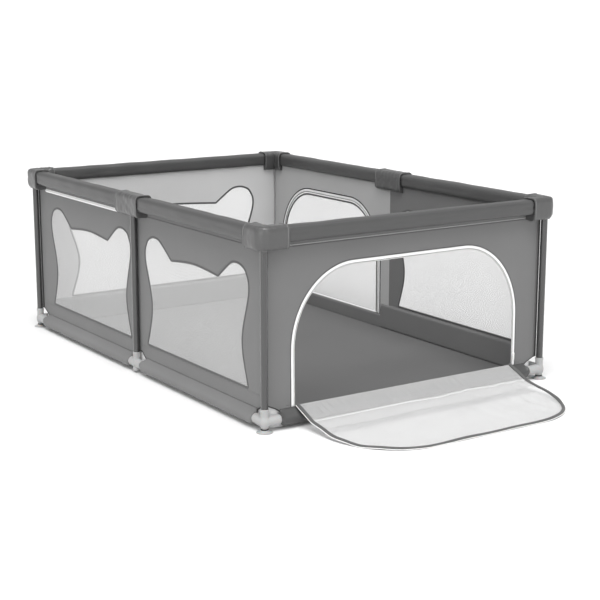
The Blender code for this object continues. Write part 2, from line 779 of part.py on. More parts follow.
def box(name, low, high, material):
    bm = bmesh.new()
    bmesh.ops.create_cube(bm, size=1.0)
    middle = (Vector(low) + Vector(high)) / 2
    for vert in bm.verts:
        vert.co = Vector(c * (b - a) for c, a, b in zip(vert.co, low, high)) + middle
    return add_mesh_object(name, bm, material)


def build_sliders(plastic):
    half_opening = WIDTH / 2 - DOOR_MARGIN
    build_slider("front_zip_slider", "front", half_opening + TAPE_WIDTH / 2, plastic)
    middle, half_width = panel_middle(SIDE_DOOR_OUTER_MARGIN, SIDE_DOOR_MARGIN)
    build_slider("side_zip_slider", "right", middle + half_width + TAPE_WIDTH / 2, plastic)


def build_playpen():
    clear_scene()
    steel = make_material("powder_coated_steel", (0.150, 0.152, 0.155), 0.35, 0.6)
    foot_plastic = make_material("light_grey_plastic", (0.520, 0.520, 0.515), 0.45)
    hidden_plastic = make_material("dark_grey_plastic", (0.060, 0.060, 0.062), 0.5)
    cup_rubber = make_material("soft_clear_grey_rubber", (0.550, 0.550, 0.550), 0.4)
    padding = make_material("padded_grey_fabric", (0.150, 0.150, 0.152), 0.6)
    wall_cloth = make_material("woven_grey_fabric", (0.220, 0.220, 0.222), 0.8)
    mat_cloth = make_material("grey_mat_fabric", (0.150, 0.150, 0.152), 0.85)
    mesh_cloth = make_material("white_mesh_fabric", (0.800, 0.800, 0.800), 0.7)
    zip_plastic = make_material("white_zip_plastic", (0.850, 0.850, 0.850), 0.4)
    build_posts(steel)
    build_feet(foot_plastic)
    build_cups(cup_rubber)
    build_tubes(steel)
    build_top_connectors(hidden_plastic)
    build_rail_pads(padding)
    build_caps(padding)
    build_walls(wall_cloth, mesh_cloth)
    build_mat(mat_cloth)
    build_front_door(mesh_cloth)
    build_side_door(mesh_cloth)
    build_sliders(zip_plastic)


build_playpen()
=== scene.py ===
"""A rectangular baby playpen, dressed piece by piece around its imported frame.

Metres, +Z up.  Front is -Y, the short side with the open door, and left is -X.  The order is the
order of making: room, steel, feet, padded top edge, cloth walls, windows, mat, zips and doors.
"""

import math
from functools import partial

import bmesh
import bpy
import numpy as np
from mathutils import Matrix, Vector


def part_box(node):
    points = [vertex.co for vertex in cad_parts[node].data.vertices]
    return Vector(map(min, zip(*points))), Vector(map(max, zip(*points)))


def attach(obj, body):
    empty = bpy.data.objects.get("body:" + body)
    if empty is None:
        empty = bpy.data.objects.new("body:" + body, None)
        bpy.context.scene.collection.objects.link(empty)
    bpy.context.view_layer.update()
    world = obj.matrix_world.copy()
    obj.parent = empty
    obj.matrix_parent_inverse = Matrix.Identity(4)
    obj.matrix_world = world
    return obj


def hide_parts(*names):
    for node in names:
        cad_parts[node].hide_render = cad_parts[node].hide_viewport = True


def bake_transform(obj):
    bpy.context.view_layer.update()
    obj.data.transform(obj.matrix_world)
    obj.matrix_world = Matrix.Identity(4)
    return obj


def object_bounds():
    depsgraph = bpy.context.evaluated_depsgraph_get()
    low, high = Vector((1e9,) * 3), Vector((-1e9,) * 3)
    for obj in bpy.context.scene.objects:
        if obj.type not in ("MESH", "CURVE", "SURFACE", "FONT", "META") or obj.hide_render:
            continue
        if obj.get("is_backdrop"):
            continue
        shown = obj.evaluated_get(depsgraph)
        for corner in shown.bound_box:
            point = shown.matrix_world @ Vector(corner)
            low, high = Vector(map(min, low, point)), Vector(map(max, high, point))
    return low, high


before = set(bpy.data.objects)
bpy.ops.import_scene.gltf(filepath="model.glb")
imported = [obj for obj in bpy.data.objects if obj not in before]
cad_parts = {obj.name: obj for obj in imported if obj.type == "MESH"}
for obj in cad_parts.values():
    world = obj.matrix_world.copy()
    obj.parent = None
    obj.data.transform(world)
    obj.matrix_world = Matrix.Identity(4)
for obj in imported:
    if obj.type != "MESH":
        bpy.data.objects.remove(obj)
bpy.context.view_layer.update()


# ---------------------------------------------------------------- the view and the room
# A long lens stands well back, a little above the top rail.  The floor is a matt white sheet
# that runs to the horizon.  A white room, a broad lamp overhead and two softboxes light it.

scene = bpy.context.scene
scene.view_settings.view_transform = "Standard"

camera = bpy.data.objects.new("camera", bpy.data.cameras.new("camera"))
CAMERA_DOWN, CAMERA_ROUND = 12.27, 33.62
camera.location = (-2.913, -4.586, 1.386)
camera.rotation_euler = (math.radians(90 - CAMERA_DOWN), 0, math.radians(-CAMERA_ROUND))
camera.data.lens = 84.02
camera.data.sensor_width = 36
camera.data.clip_end = 2000
scene.collection.objects.link(camera)
scene.camera = camera


def linear(code):
    """An sRGB hex code as linear colour: a straight line near black, then a 2.4 power."""
    parts = np.array([int(code[k:k + 2], 16) for k in (1, 3, 5)]) / 255
    light = np.where(parts < 0.04045, parts / 12.92, ((parts + 0.055) / 1.055) ** 2.4)
    return (*light.tolist(), 1.0)


def add_node(material, kind, settings, inputs):
    """Add a node with its settings; each input is a plain value or another node's output."""
    node = material.node_tree.nodes.new(kind)
    for key, value in settings.items():
        setattr(node, key, value)
    for key, value in inputs.items():
        if isinstance(value, bpy.types.NodeSocket):
            material.node_tree.links.new(value, node.inputs[key])
        else:
            node.inputs[key].default_value = value
    return node


def new_material(name, **sockets):
    """A material whose shader has these constant sockets set, by their names in lower case."""
    material = bpy.data.materials.new(name)
    material.use_nodes = True
    shader = material.node_tree.nodes["Principled BSDF"]
    for key, value in sockets.items():
        shader.inputs[key.replace("_", " ").title().replace("Ior", "IOR")].default_value = value
    return material, shader


def grid_faces(rows, columns):
    """Quads over a rows by columns array of points that is numbered row by row."""
    index = np.arange(rows * columns).reshape(rows, columns)
    corners = [index[:-1, :-1], index[:-1, 1:], index[1:, 1:], index[1:, :-1]]
    return np.stack(corners, -1).reshape(-1, 4)


# Matt white floor paint: an even surface with no gloss, faintly uneven over hundreds of metres.
FLOOR_BLOTCH = 400.0
floor_paint, shader = new_material("matt_floor_paint", roughness=0.75)
place = add_node(floor_paint, "ShaderNodeTexCoord", {}, {})
mottle = add_node(floor_paint, "ShaderNodeTexNoise", {},
                  {"Vector": place.outputs["Object"], "Scale": 1 / FLOOR_BLOTCH, "Detail": 3.0})
shade = add_node(floor_paint, "ShaderNodeMapRange", {}, {0: mottle.outputs[0], 3: 0.81, 4: 0.84})
floor_paint.node_tree.links.new(shade.outputs[0], shader.inputs["Base Color"])

FLOOR_HALF = 600.0
FLOOR_DROP = 0.0005
along, away = np.meshgrid(np.linspace(-1, 1, 9), np.linspace(-1, 1, 9))
spread = np.stack([along, away, np.zeros_like(along)], -1).reshape(-1, 3) * FLOOR_HALF
floor_mesh = bpy.data.meshes.new("floor")
floor_mesh.from_pydata((spread - (0, 0, FLOOR_DROP)).tolist(), [], grid_faces(9, 9).tolist())
floor_mesh.materials.append(floor_paint)
floor = bpy.data.objects.new("floor", floor_mesh)
scene.collection.objects.link(floor)
floor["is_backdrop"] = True

# The room glows softly from the upper front left, and a white skirting runs round the horizon.
world = bpy.data.worlds.new("white_room")
world.use_nodes = True
backdrop = world.node_tree.nodes["Background"]
backdrop.inputs["Color"].default_value = (1.0, 1.0, 1.0, 1.0)
ROOM_DIM, ROOM_BRIGHT = 0.40, 0.74
room = add_node(world, "ShaderNodeTexCoord", {}, {})
facing = add_node(world, "ShaderNodeVectorMath", {"operation": "DOT_PRODUCT"},
                  {0: room.outputs["Generated"], 1: (-0.62, -0.62, 0.48)})
glow = add_node(world, "ShaderNodeMapRange", {},
                {0: facing.outputs["Value"], 1: -0.6, 2: 0.8, 3: ROOM_DIM, 4: ROOM_BRIGHT})
height = add_node(world, "ShaderNodeSeparateXYZ", {}, {0: room.outputs["Generated"]})
skirting = add_node(world, "ShaderNodeMapRange", {},
                    {0: height.outputs[2], 1: 0.10, 2: 0.22, 3: 1.0, 4: 0.0})
strength = add_node(world, "ShaderNodeMath", {"operation": "MAXIMUM"},
                    {0: glow.outputs[0], 1: skirting.outputs[0]})
world.node_tree.links.new(strength.outputs[0], backdrop.inputs["Strength"])
scene.world = world


def turned_towards(place, target):
    """The rotation that points a lamp's own -Z from a place at a target."""
    toward = np.array(target, float) - np.array(place, float)
    return (math.atan2(math.hypot(toward[0], toward[1]), -toward[2]), 0,
            math.atan2(-toward[0], toward[1]))


overhead = bpy.data.lights.new("overhead_lamp", "SUN")
overhead.energy = 2.9
overhead.angle = math.radians(50)
overhead_lamp = bpy.data.objects.new("overhead_lamp", overhead)
overhead_lamp.rotation_euler = turned_towards((-0.17, -0.29, 1.0), (0, 0, 0))
scene.collection.objects.link(overhead_lamp)

SOFTBOX_TALL = 2.4
SOFTBOX_AIM = (0, 0, 0.3)
for name, place, width, power in (("left_softbox", (-4.6, -2.6, 1.5), 0.6, 24),
                                  ("front_softbox", (-1.0, -5.6, 1.7), 0.5, 18)):
    panel_lamp = bpy.data.lights.new(name, "AREA")
    panel_lamp.shape = "RECTANGLE"
    panel_lamp.size = width
    panel_lamp.size_y = SOFTBOX_TALL
    panel_lamp.energy = power
    softbox = bpy.data.objects.new(name, panel_lamp)
    softbox.location = place
    softbox.rotation_euler = turned_towards(place, SOFTBOX_AIM)
    scene.collection.objects.link(softbox)


# ---------------------------------------------------------------- steel posts and bottom tubes
# Round steel tube, cut to length and powder coated dark grey.  The posts stand in the feet and
# reach up into the rail caps, and the bottom tubes run between the feet inside the wall hems.

MERGE_WITHIN = 0.00002


def add_piece(name, mesh, body):
    """Put a mesh in the scene as a piece that rides a body."""
    piece = bpy.data.objects.new(name, mesh)
    scene.collection.objects.link(piece)
    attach(piece, body)
    return piece


def put_mesh(name, points, faces, uv, material, body, slot, sharp=None):
    """An object at the origin from arrays of points, faces and a UV place for each point.

    Points that fall together are merged, so a seam or a pole closes, and faces turn outwards.
    """
    mesh = bpy.data.meshes.new(name)
    mesh.from_pydata(points.reshape(-1, 3).tolist(), [], faces.tolist())
    corner = np.zeros(len(mesh.loops), np.int32)
    mesh.loops.foreach_get("vertex_index", corner)
    layer = mesh.uv_layers.new(name="UVMap")
    layer.data.foreach_set("uv", uv.reshape(-1, 2)[corner].astype(np.float32).ravel())
    work = bmesh.new()
    work.from_mesh(mesh)
    bmesh.ops.remove_doubles(work, verts=work.verts, dist=MERGE_WITHIN)
    bmesh.ops.recalc_face_normals(work, faces=work.faces)
    work.to_mesh(mesh)
    work.free()
    mesh.materials.append(material)
    mesh.shade_smooth()
    if sharp:
        mesh.set_sharp_from_angle(angle=math.radians(sharp))
    return add_piece(name, mesh, body)


def turned(profile, centre, axis, sides=48):
    """A profile of (radius, distance along the axis) turned round an axis through centre."""
    axis = np.array(axis, float)
    side = np.cross(axis, (0.0, 0.0, 1.0) if abs(axis[2]) < 0.5 else (0.0, 1.0, 0.0))
    rise = np.cross(axis, side)
    turn = np.linspace(0, 2 * math.pi, sides + 1)[None, :, None]
    radius = profile[:, 0][:, None, None]
    ring = side * np.cos(turn) + rise * np.sin(turn)
    points = np.array(centre) + axis * profile[:, 1][:, None, None] + ring * radius
    length = np.concatenate([[0], np.cumsum(np.linalg.norm(np.diff(profile, axis=0), axis=1))])
    girth = turn[:, :, 0] * np.maximum(profile[:, 0], 0.001).max()
    uv = np.stack(np.broadcast_arrays(girth, length[:, None]), -1)
    return points, grid_faces(len(profile), sides + 1), uv


def mottled(name, dark, light, tone_scale, detail=2.0, grain=None, **sockets):
    """A material of two close shades, mixed by a soft noise on Object coordinates.

    Where the surface has a grain, it is the scale of a finer noise, with its strength and depth.
    """
    material, shader = new_material(name, **sockets)
    place = add_node(material, "ShaderNodeTexCoord", {}, {})
    cloud = add_node(material, "ShaderNodeTexNoise", {},
                     {"Vector": place.outputs["Object"], "Scale": tone_scale, "Detail": detail})
    tone = add_node(material, "ShaderNodeMix", {"data_type": "RGBA"},
                    {0: cloud.outputs[0], 6: linear(dark), 7: linear(light)})
    material.node_tree.links.new(tone.outputs[2], shader.inputs["Base Color"])
    if grain:
        scale, strength, depth = grain
        relief = add_node(material, "ShaderNodeTexNoise", {},
                          {"Vector": place.outputs["Object"], "Scale": scale, "Detail": 1.0})
        bump = add_node(material, "ShaderNodeBump", {},
                        {"Strength": strength, "Distance": depth, "Height": relief.outputs[0]})
        material.node_tree.links.new(bump.outputs[0], shader.inputs["Normal"])
    return material


# Powder coat on steel: an even dark grey film with a soft gloss and a faint orange peel.  The
# peel is about 1 mm across on the real tube, and it is drawn at 1.5 mm.
PEEL_PITCH = 0.0015
steel_coat = mottled("powder_coated_steel", "#383838", "#424242", 6.0, grain=(1 / PEEL_PITCH, 0.06, 0.0003),
                     roughness=0.22, coat_weight=1.0, coat_roughness=0.07, metallic=0.35)

POSTS = ("front_left", "front_right", "middle_left", "middle_right", "back_left", "back_right")
RUNS = ("front", "back", "left_front", "left_back", "right_front", "right_back")
TUBE_EDGE = 0.0006


def steel_tube(name, node, axis):
    """A round bar that fills a node's box along one axis, its ends eased by a small radius."""
    low, high = (np.array(corner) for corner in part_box(node))
    centre = (low + high) / 2
    half = (high - low)[axis] / 2
    radius = (high - low)[(axis + 1) % 3 if axis != 0 else 1] / 2
    stops = np.linspace(TUBE_EDGE - half, half - TUBE_EDGE, 12)
    body = np.stack([np.full_like(stops, radius), stops], -1)
    foot = [(0, -half), (radius - TUBE_EDGE, -half)]
    head = [(radius - TUBE_EDGE, half), (0, half)]
    direction = np.eye(3)[axis]
    points, faces, uv = turned(np.vstack([foot, body, head]), centre, direction)
    piece = put_mesh(name, points, faces, uv, steel_coat, "frame", "steel_tube", sharp=40)
    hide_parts(node)


for post in POSTS:
    steel_tube(f"steel_post_{post}", f"post_{post}", 2)
for run in RUNS:
    steel_tube(f"steel_bottom_tube_{run}", f"bottom_tube_{run}", 0 if run in ("front", "back") else 1)

# The top tubes and the corner connectors are closed inside the padded rails and caps.
# Glass-filled nylon for the connectors: dark, matt, with the fine grain of a moulding tool.
nylon = mottled("glass_filled_nylon", "#3e3e40", "#484849", 900.0, roughness=0.55)


def refinish(node, material):
    """Give a kept node's own mesh a better material."""
    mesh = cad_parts[node].data
    mesh.materials.clear()
    mesh.materials.append(material)


for post in POSTS:
    refinish(f"top_connector_{post}", nylon)
for run in RUNS:
    refinish(f"top_tube_{run}", steel_coat)


# ---------------------------------------------------------------- feet
# One-piece mouldings in light grey polypropylene: a lipped socket for the post, and two short
# rounded arms that the bottom tubes push into.  Corner feet end in a neck for the suction cup.

# Moulded polypropylene: pale, slightly waxy, with a fine spark-eroded grain.  The grain is
# about 0.2 mm, and it is drawn at 0.8 mm.
PLASTIC_GRAIN = 0.0008
polypropylene = mottled("moulded_polypropylene", "#a0a0a0", "#acacac", 25.0,
                        grain=(1 / PLASTIC_GRAIN, 0.08, 0.0002), roughness=0.42, ior=1.49,
                        subsurface_weight=0.08, subsurface_scale=0.004)

post_low, post_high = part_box("post_front_left")
POST_RADIUS = (post_high.x - post_low.x) / 2
CORNER_X = -(post_high.x + post_low.x) / 2
CORNER_Y = -(post_high.y + post_low.y) / 2
tube_low, tube_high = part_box("bottom_tube_front")
LOW_TUBE_Z = (tube_low.z + tube_high.z) / 2
TUBE_RADIUS = (tube_high.z - tube_low.z) / 2
FIT = 0.0003
SOCKET_RADIUS = 0.0150
ARM_RADIUS = 0.0170
ARM_END_ROUND = 0.010
BORE_START = 0.019


def round_bar(radius, low, high, centre, axis):
    """A plain round bar between two distances along an axis."""
    return turned(np.array([(0, low), (radius, low), (radius, high), (0, high)]), centre, axis)


def easy_end(reach, radius, rounding, steps=7):
    """The outline of a bar's far end: a straight side, then a quarter circle to a flat face."""
    turn = np.linspace(0, math.pi / 2, steps)
    curve = np.stack([radius - rounding + rounding * np.cos(turn),
                      reach - rounding + rounding * np.sin(turn)], -1)
    return np.vstack([[(0, -0.003), (radius, -0.003)], curve, [(0, reach)]])


def loose_mesh(name, parts):
    """One plain mesh object from several closed sets of points and faces."""
    counts = np.cumsum([0] + [points.reshape(-1, 3).shape[0] for points, _, _ in parts])
    points = np.vstack([points.reshape(-1, 3) for points, _, _ in parts])
    faces = np.vstack([faces + start for (_, faces, _), start in zip(parts, counts)])
    mesh = bpy.data.meshes.new(name)
    mesh.from_pydata(points.tolist(), [], faces.tolist())
    work = bmesh.new()
    work.from_mesh(mesh)
    bmesh.ops.remove_doubles(work, verts=work.verts, dist=MERGE_WITHIN)
    bmesh.ops.recalc_face_normals(work, faces=work.faces)
    work.to_mesh(mesh)
    work.free()
    item = bpy.data.objects.new(name, mesh)
    scene.collection.objects.link(item)
    return item


def applied(item):
    """The mesh of an object with its modifiers applied; the object is removed."""
    graph = bpy.context.evaluated_depsgraph_get()
    mesh = bpy.data.meshes.new_from_object(item.evaluated_get(graph))
    bpy.data.objects.remove(item, do_unlink=True)
    return mesh


def bored(shape, cutters):
    """The mesh of a shape with every cutter taken away exactly; all the objects are removed."""
    for cutter in cutters:
        cut = shape.modifiers.new("bore", "BOOLEAN")
        cut.operation = "DIFFERENCE"
        cut.solver = "EXACT"
        cut.object = cutter
    mesh = applied(shape)
    for cutter in cutters:
        bpy.data.objects.remove(cutter, do_unlink=True)
    return mesh


UPRIGHT = (0, 0, 1)
VOXEL = 0.0012
CLEAR = 0.02


def moulded_foot(directions, reach, base, waist, neck):
    """A foot at the origin: turned body and arms, run together, eased and then bored.

    The closed shapes are joined by a voxel remesh and smoothed, so each meeting gets the fillet
    that a moulding has.  The sockets are cut afterwards, which leaves their mouths crisp.
    """
    low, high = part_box("foot_front_left")
    top = high.z
    body = np.array([(0, base), (neck - 0.001, base), (neck, base + 0.001), (waist, base + 0.009),
                     (ARM_RADIUS, LOW_TUBE_Z - 0.006), (ARM_RADIUS, LOW_TUBE_Z + 0.004),
                     (SOCKET_RADIUS - 0.0012, LOW_TUBE_Z + ARM_RADIUS - 0.001),
                     (SOCKET_RADIUS - 0.0008, top - 0.009), (SOCKET_RADIUS, top - 0.008),
                     (SOCKET_RADIUS, top + 0.002), (0, top + 0.002)])
    parts = [turned(body, (0, 0, 0), UPRIGHT, 40)]
    bores = [round_bar(POST_RADIUS + FIT, post_low.z, top + CLEAR, (0, 0, 0), UPRIGHT),
             round_bar(2 * CLEAR, top, top + 0.03, (0, 0, 0), UPRIGHT)]
    for direction in directions:
        centre = (0, 0, LOW_TUBE_Z)
        parts.append(turned(easy_end(reach, ARM_RADIUS, ARM_END_ROUND), centre, direction, 40))
        bores.append(round_bar(TUBE_RADIUS + FIT, BORE_START, reach + CLEAR, centre, direction))
    shape = loose_mesh("foot_shape", parts)
    remesh = shape.modifiers.new("join", "REMESH")
    remesh.mode = "VOXEL"
    remesh.voxel_size = VOXEL
    ease = shape.modifiers.new("ease", "SMOOTH")
    ease.factor = 0.6
    ease.iterations = 9
    return bored(shape, [loose_mesh("bore", [bore]) for bore in bores[:1] + bores[2:] + bores[1:2]])


CORNER_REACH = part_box("foot_front_left")[1].x + CORNER_X
MIDDLE_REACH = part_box("foot_middle_left")[1].y
CORNER_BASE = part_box("foot_front_left")[0].z
MIDDLE_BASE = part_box("foot_middle_left")[0].z
corner_mesh = moulded_foot([(1, 0, 0), (0, 1, 0)], CORNER_REACH, CORNER_BASE, 0.0145, 0.0115)
middle_mesh = moulded_foot([(0, -1, 0), (0, 1, 0)], MIDDLE_REACH, MIDDLE_BASE, 0.0150, 0.0168)
QUARTER_TURNS = {"front_left": 0, "front_right": 1, "back_right": 2, "back_left": 3,
                 "middle_left": 0, "middle_right": 2}


def post_place(post):
    """The centre line of a post, as (x, y)."""
    end, side = post.split("_")
    across = CORNER_X if side == "right" else -CORNER_X
    return across, {"front": -CORNER_Y, "middle": 0.0, "back": CORNER_Y}[end]


def quarter_turned(mesh, post):
    """A copy of a mesh turned by quarters about the upright axis and set on a post's place."""
    copy = mesh.copy()
    points = np.zeros(len(copy.vertices) * 3, np.float32)
    copy.vertices.foreach_get("co", points)
    points = points.reshape(-1, 3)
    turn = QUARTER_TURNS[post] * math.pi / 2
    x, y = post_place(post)
    moved = np.stack([points[:, 0] * math.cos(turn) - points[:, 1] * math.sin(turn) + x,
                      points[:, 0] * math.sin(turn) + points[:, 1] * math.cos(turn) + y,
                      points[:, 2]], -1)
    copy.vertices.foreach_set("co", moved.astype(np.float32).ravel())
    copy.update()
    return copy


def place_copy(name, mesh, post, material, node, sharp):
    """One of the like pieces at the posts: a turned copy that stands for its node."""
    copy = quarter_turned(mesh, post)
    copy.materials.clear()
    copy.materials.append(material)
    copy.shade_smooth()
    copy.set_sharp_from_angle(angle=math.radians(sharp))
    piece = add_piece(name, copy, "frame")
    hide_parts(node)
    return piece


for post in POSTS:
    shape = middle_mesh if post.startswith("middle") else corner_mesh
    place_copy(f"moulded_foot_{post}", shape, post, polypropylene, f"foot_{post}", 35)


# ---------------------------------------------------------------- suction cups
# Soft cups under the four corner feet, pressed in by a stem.  A thin flexible skirt spreads
# from a thick neck, under a near-black ring that is painted shade below the foot.

# Soft PVC: pale grey, a little clear, with a wet-looking gloss and faint flow marks.
soft_pvc = mottled("soft_pvc", "#9c9c9c", "#acacac", 60.0, roughness=0.3, ior=1.52,
                   subsurface_weight=0.25, subsurface_scale=0.006)

# Near-black ring between foot and cup: painted shade under the foot's neck, matt, with a fine speckle.
neck_shade_black = mottled("neck_shade_black", "#141414", "#222222", 700.0, roughness=0.7)
neck_shade_profile = np.array([(0.0092, 0.0098), (0.0128, 0.0092), (0.0134, 0.0100), (0.0134, 0.0110),
                           (0.0128, CORNER_BASE - FIT), (0.0092, CORNER_BASE - FIT), (0.0092, 0.0098)])

cup_low, cup_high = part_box("suction_cup_front_left")
CUP_RADIUS = (cup_high.x - cup_low.x) / 2
skirt = np.linspace(0, 1, 14)
skirt_top = np.stack([CUP_RADIUS - 0.0004 - (CUP_RADIUS - 0.0125) * skirt,
                      0.0012 + 0.0078 * skirt ** 1.4], -1)
skirt_under = np.stack([CUP_RADIUS - 0.0022 - (CUP_RADIUS - 0.0022) * skirt,
                        0.0052 * np.sin(skirt * math.pi / 2)], -1)
cup_profile = np.vstack([
    skirt_under[::-1], [(CUP_RADIUS - 0.0012, 0.0), (CUP_RADIUS, 0.0004)], skirt_top,
    [(0.0105, 0.0096), (0.0096, 0.0102), (0.0090, 0.0110), (0.0088, CORNER_BASE - FIT),
     (0.0050, CORNER_BASE - FIT), (0.0050, CORNER_BASE + 0.0078), (0, CORNER_BASE + 0.0078)]])
for post in POSTS:
    if not post.startswith("middle"):
        cup = turned(cup_profile, (*post_place(post), 0), UPRIGHT, 64)
        piece = put_mesh(f"soft_cup_{post}", *cup, soft_pvc, "frame", "cup_rubber", 50)
        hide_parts(f"suction_cup_{post}")
        neck_shade_ring = turned(neck_shade_profile, (*post_place(post), 0), UPRIGHT)
        put_mesh(f"cup_neck_shade_ring_{post}", *neck_shade_ring, neck_shade_black, "frame", "cup_rubber", 50)


# ---------------------------------------------------------------- padded top rails
# A foam sleeve round each top tube in a close-sewn cover.  The section is a soft square, and
# the cover is pulled along the rail, so it shows long shallow waves and a few tucks at the caps.

# Coated polyester cover: close weave under a thin soft coating, so it has a leathery sheen and
# fine creases.  Threads are 0.4 mm apart, and they are drawn 1.2 mm apart.
THREAD_PITCH = 0.0012
WAVE_UNIT = 2 * math.pi / 20


def woven(name, dark, light, pitch, depth, blotch, **sockets):
    """Woven cloth on its UV places, which are in metres: warp times weft gives the weave.

    A wave texture repeats every WAVE_UNIT over its scale.  A soft noise of blotch metres
    mixes the two shades, and the weave paints a little shade into the hollows between
    threads and a little light on their crests.
    """
    cloth, shader = new_material(name, **sockets)
    place = add_node(cloth, "ShaderNodeTexCoord", {}, {})
    threads = []
    for direction in ("X", "Y"):
        threads.append(add_node(cloth, "ShaderNodeTexWave", {"bands_direction": direction},
                                {"Vector": place.outputs["UV"], "Scale": WAVE_UNIT / pitch}))
    weave = add_node(cloth, "ShaderNodeMath", {"operation": "MULTIPLY"},
                     {0: threads[0].outputs["Fac"], 1: threads[1].outputs["Fac"]})
    cloud = add_node(cloth, "ShaderNodeTexNoise", {},
                     {"Vector": place.outputs["Object"], "Scale": 1 / blotch, "Detail": 3.0})
    tone = add_node(cloth, "ShaderNodeMix", {"data_type": "RGBA"},
                    {0: cloud.outputs[0], 6: linear(dark), 7: linear(light)})
    hollow = add_node(cloth, "ShaderNodeMapRange", {}, {0: weave.outputs[0], 3: 0.90, 4: 1.06})
    colour = add_node(cloth, "ShaderNodeMix", {"data_type": "RGBA", "blend_type": "MULTIPLY"},
                      {0: 1.0, 6: tone.outputs[2], 7: hollow.outputs[0]})
    bump = add_node(cloth, "ShaderNodeBump", {}, {"Strength": 0.5, "Distance": depth,
                                                  "Height": weave.outputs[0]})
    cloth.node_tree.links.new(colour.outputs[2], shader.inputs["Base Color"])
    cloth.node_tree.links.new(bump.outputs[0], shader.inputs["Normal"])
    return cloth


rail_cloth = woven("coated_rail_cover", "#424242", "#4a4a4a", THREAD_PITCH, 0.00012, 0.12,
                   roughness=0.46, coat_weight=0.30, coat_roughness=0.34)


def ripples(a, b, size, seed):
    """Soft random waves of about this size: a sum of eight plane waves in fixed directions."""
    random = np.random.default_rng(seed)
    angle, phase = random.uniform(0, 2 * math.pi, (2, 8))
    pace = random.uniform(0.7, 1.5, 8) * 2 * math.pi / size
    waves = np.sin(pace * (a[..., None] * np.cos(angle) + b[..., None] * np.sin(angle)) + phase)
    return waves.sum(-1) / 4


def soft_square(half_width, half_height, power, sides):
    """A closed superellipse |x/a|^n + |y/b|^n = 1, from its angle, first point repeated."""
    turn = np.linspace(0, 2 * math.pi, sides + 1)
    reach = (np.abs(np.cos(turn)) ** power + np.abs(np.sin(turn)) ** power) ** (-1 / power)
    return np.stack([half_width * reach * np.cos(turn), half_height * reach * np.sin(turn)], -1)


def sleeve(outer, inner):
    """A closed sleeve from outer and inner surfaces of the same (along, round) shape.

    The rows run out along the outer surface and back along the inner one, and the first row
    is repeated at the end, so both rims close.
    """
    points = np.concatenate([outer, inner[::-1], outer[:1]])
    steps = np.linalg.norm(np.diff(points[:, :1], axis=0), axis=-1)
    along = np.concatenate([[0], np.cumsum(steps)])[:, None]
    around = np.linalg.norm(np.diff(outer[:1], axis=1), axis=-1)
    around = np.concatenate([[0], np.cumsum(around)])[None, :]
    uv = np.stack(np.broadcast_arrays(along, around), -1)
    return points, grid_faces(*points.shape[:2]), uv


RAIL_SIDES = 56
RAIL_POWER = 4.2
RAIL_STEP = 0.008
RAIL_EASE = 0.0012
RAIL_WAVE = 0.0007
RAIL_TUCK = 0.0009
for run in RUNS:
    low, high = (np.array(corner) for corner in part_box(f"rail_pad_{run}"))
    axis = 0 if run in ("front", "back") else 1
    direction = np.eye(3)[axis]
    side = np.eye(3)[1 - axis]
    centre = (low + high) / 2
    length = (high - low)[axis]
    half_width = (high - low)[1 - axis] / 2
    half_height = (high - low)[2] / 2
    stops = np.linspace(-length / 2, length / 2, int(length / RAIL_STEP))
    section = soft_square(1.0, 1.0, RAIL_POWER, RAIL_SIDES)
    angle = np.arctan2(section[:, 1], section[:, 0])
    along, around = np.broadcast_arrays(stops[:, None], angle[None, :])
    to_cap = length / 2 - np.abs(along)
    seed = 10 + RUNS.index(run)
    wave = RAIL_WAVE * ripples(along, around * 0.03, 0.16, seed)
    folds = np.sin(around * 9 + 4 * ripples(along, around, 0.5, seed))
    reach = wave + RAIL_TUCK * np.exp(-to_cap / 0.03) * folds - RAIL_EASE
    rise = np.array(UPRIGHT, float)
    points = (centre + direction * along[..., None]
              + side * ((half_width + reach) * section[None, :, 0])[..., None]
              + rise * ((half_height + reach) * section[None, :, 1])[..., None])
    tube_low, tube_high = (np.array(corner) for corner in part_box(f"top_tube_{run}"))
    bore = ((tube_low + tube_high) / 2 + direction * along[..., None]
            + side * ((TUBE_RADIUS + FIT) * np.cos(around))[..., None]
            + rise * ((TUBE_RADIUS + FIT) * np.sin(around))[..., None])
    pad = put_mesh(f"padded_rail_{run}", *sleeve(points, bore), rail_cloth, "frame", "padded_rail")
    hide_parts(f"rail_pad_{run}")


# ---------------------------------------------------------------- padded rail caps
# Foam-backed covers sewn in the same cloth wrap each top joint over the ends of the rails.
# A corner cap turns on a large outer radius.  Both ends carry a corded edge, and a finer cord
# runs along the foot of the cover.

CAP_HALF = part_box("rail_cap_middle_left")[1].x + CORNER_X
CAP_LOW, CAP_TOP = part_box("rail_cap_front_left")[0].z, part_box("rail_cap_front_left")[1].z
CAP_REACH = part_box("rail_cap_front_left")[1].x + CORNER_X
MIDDLE_CAP_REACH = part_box("rail_cap_middle_left")[1].y
CAP_BEND = CAP_HALF + 0.006
CAP_SIDES = 64
CAP_POWER = 4.6
RAIL_HALF = 0.0302
RAIL_RISE = 0.0284
CAP_EASE = 0.0016
CAP_HOLE = 0.0158


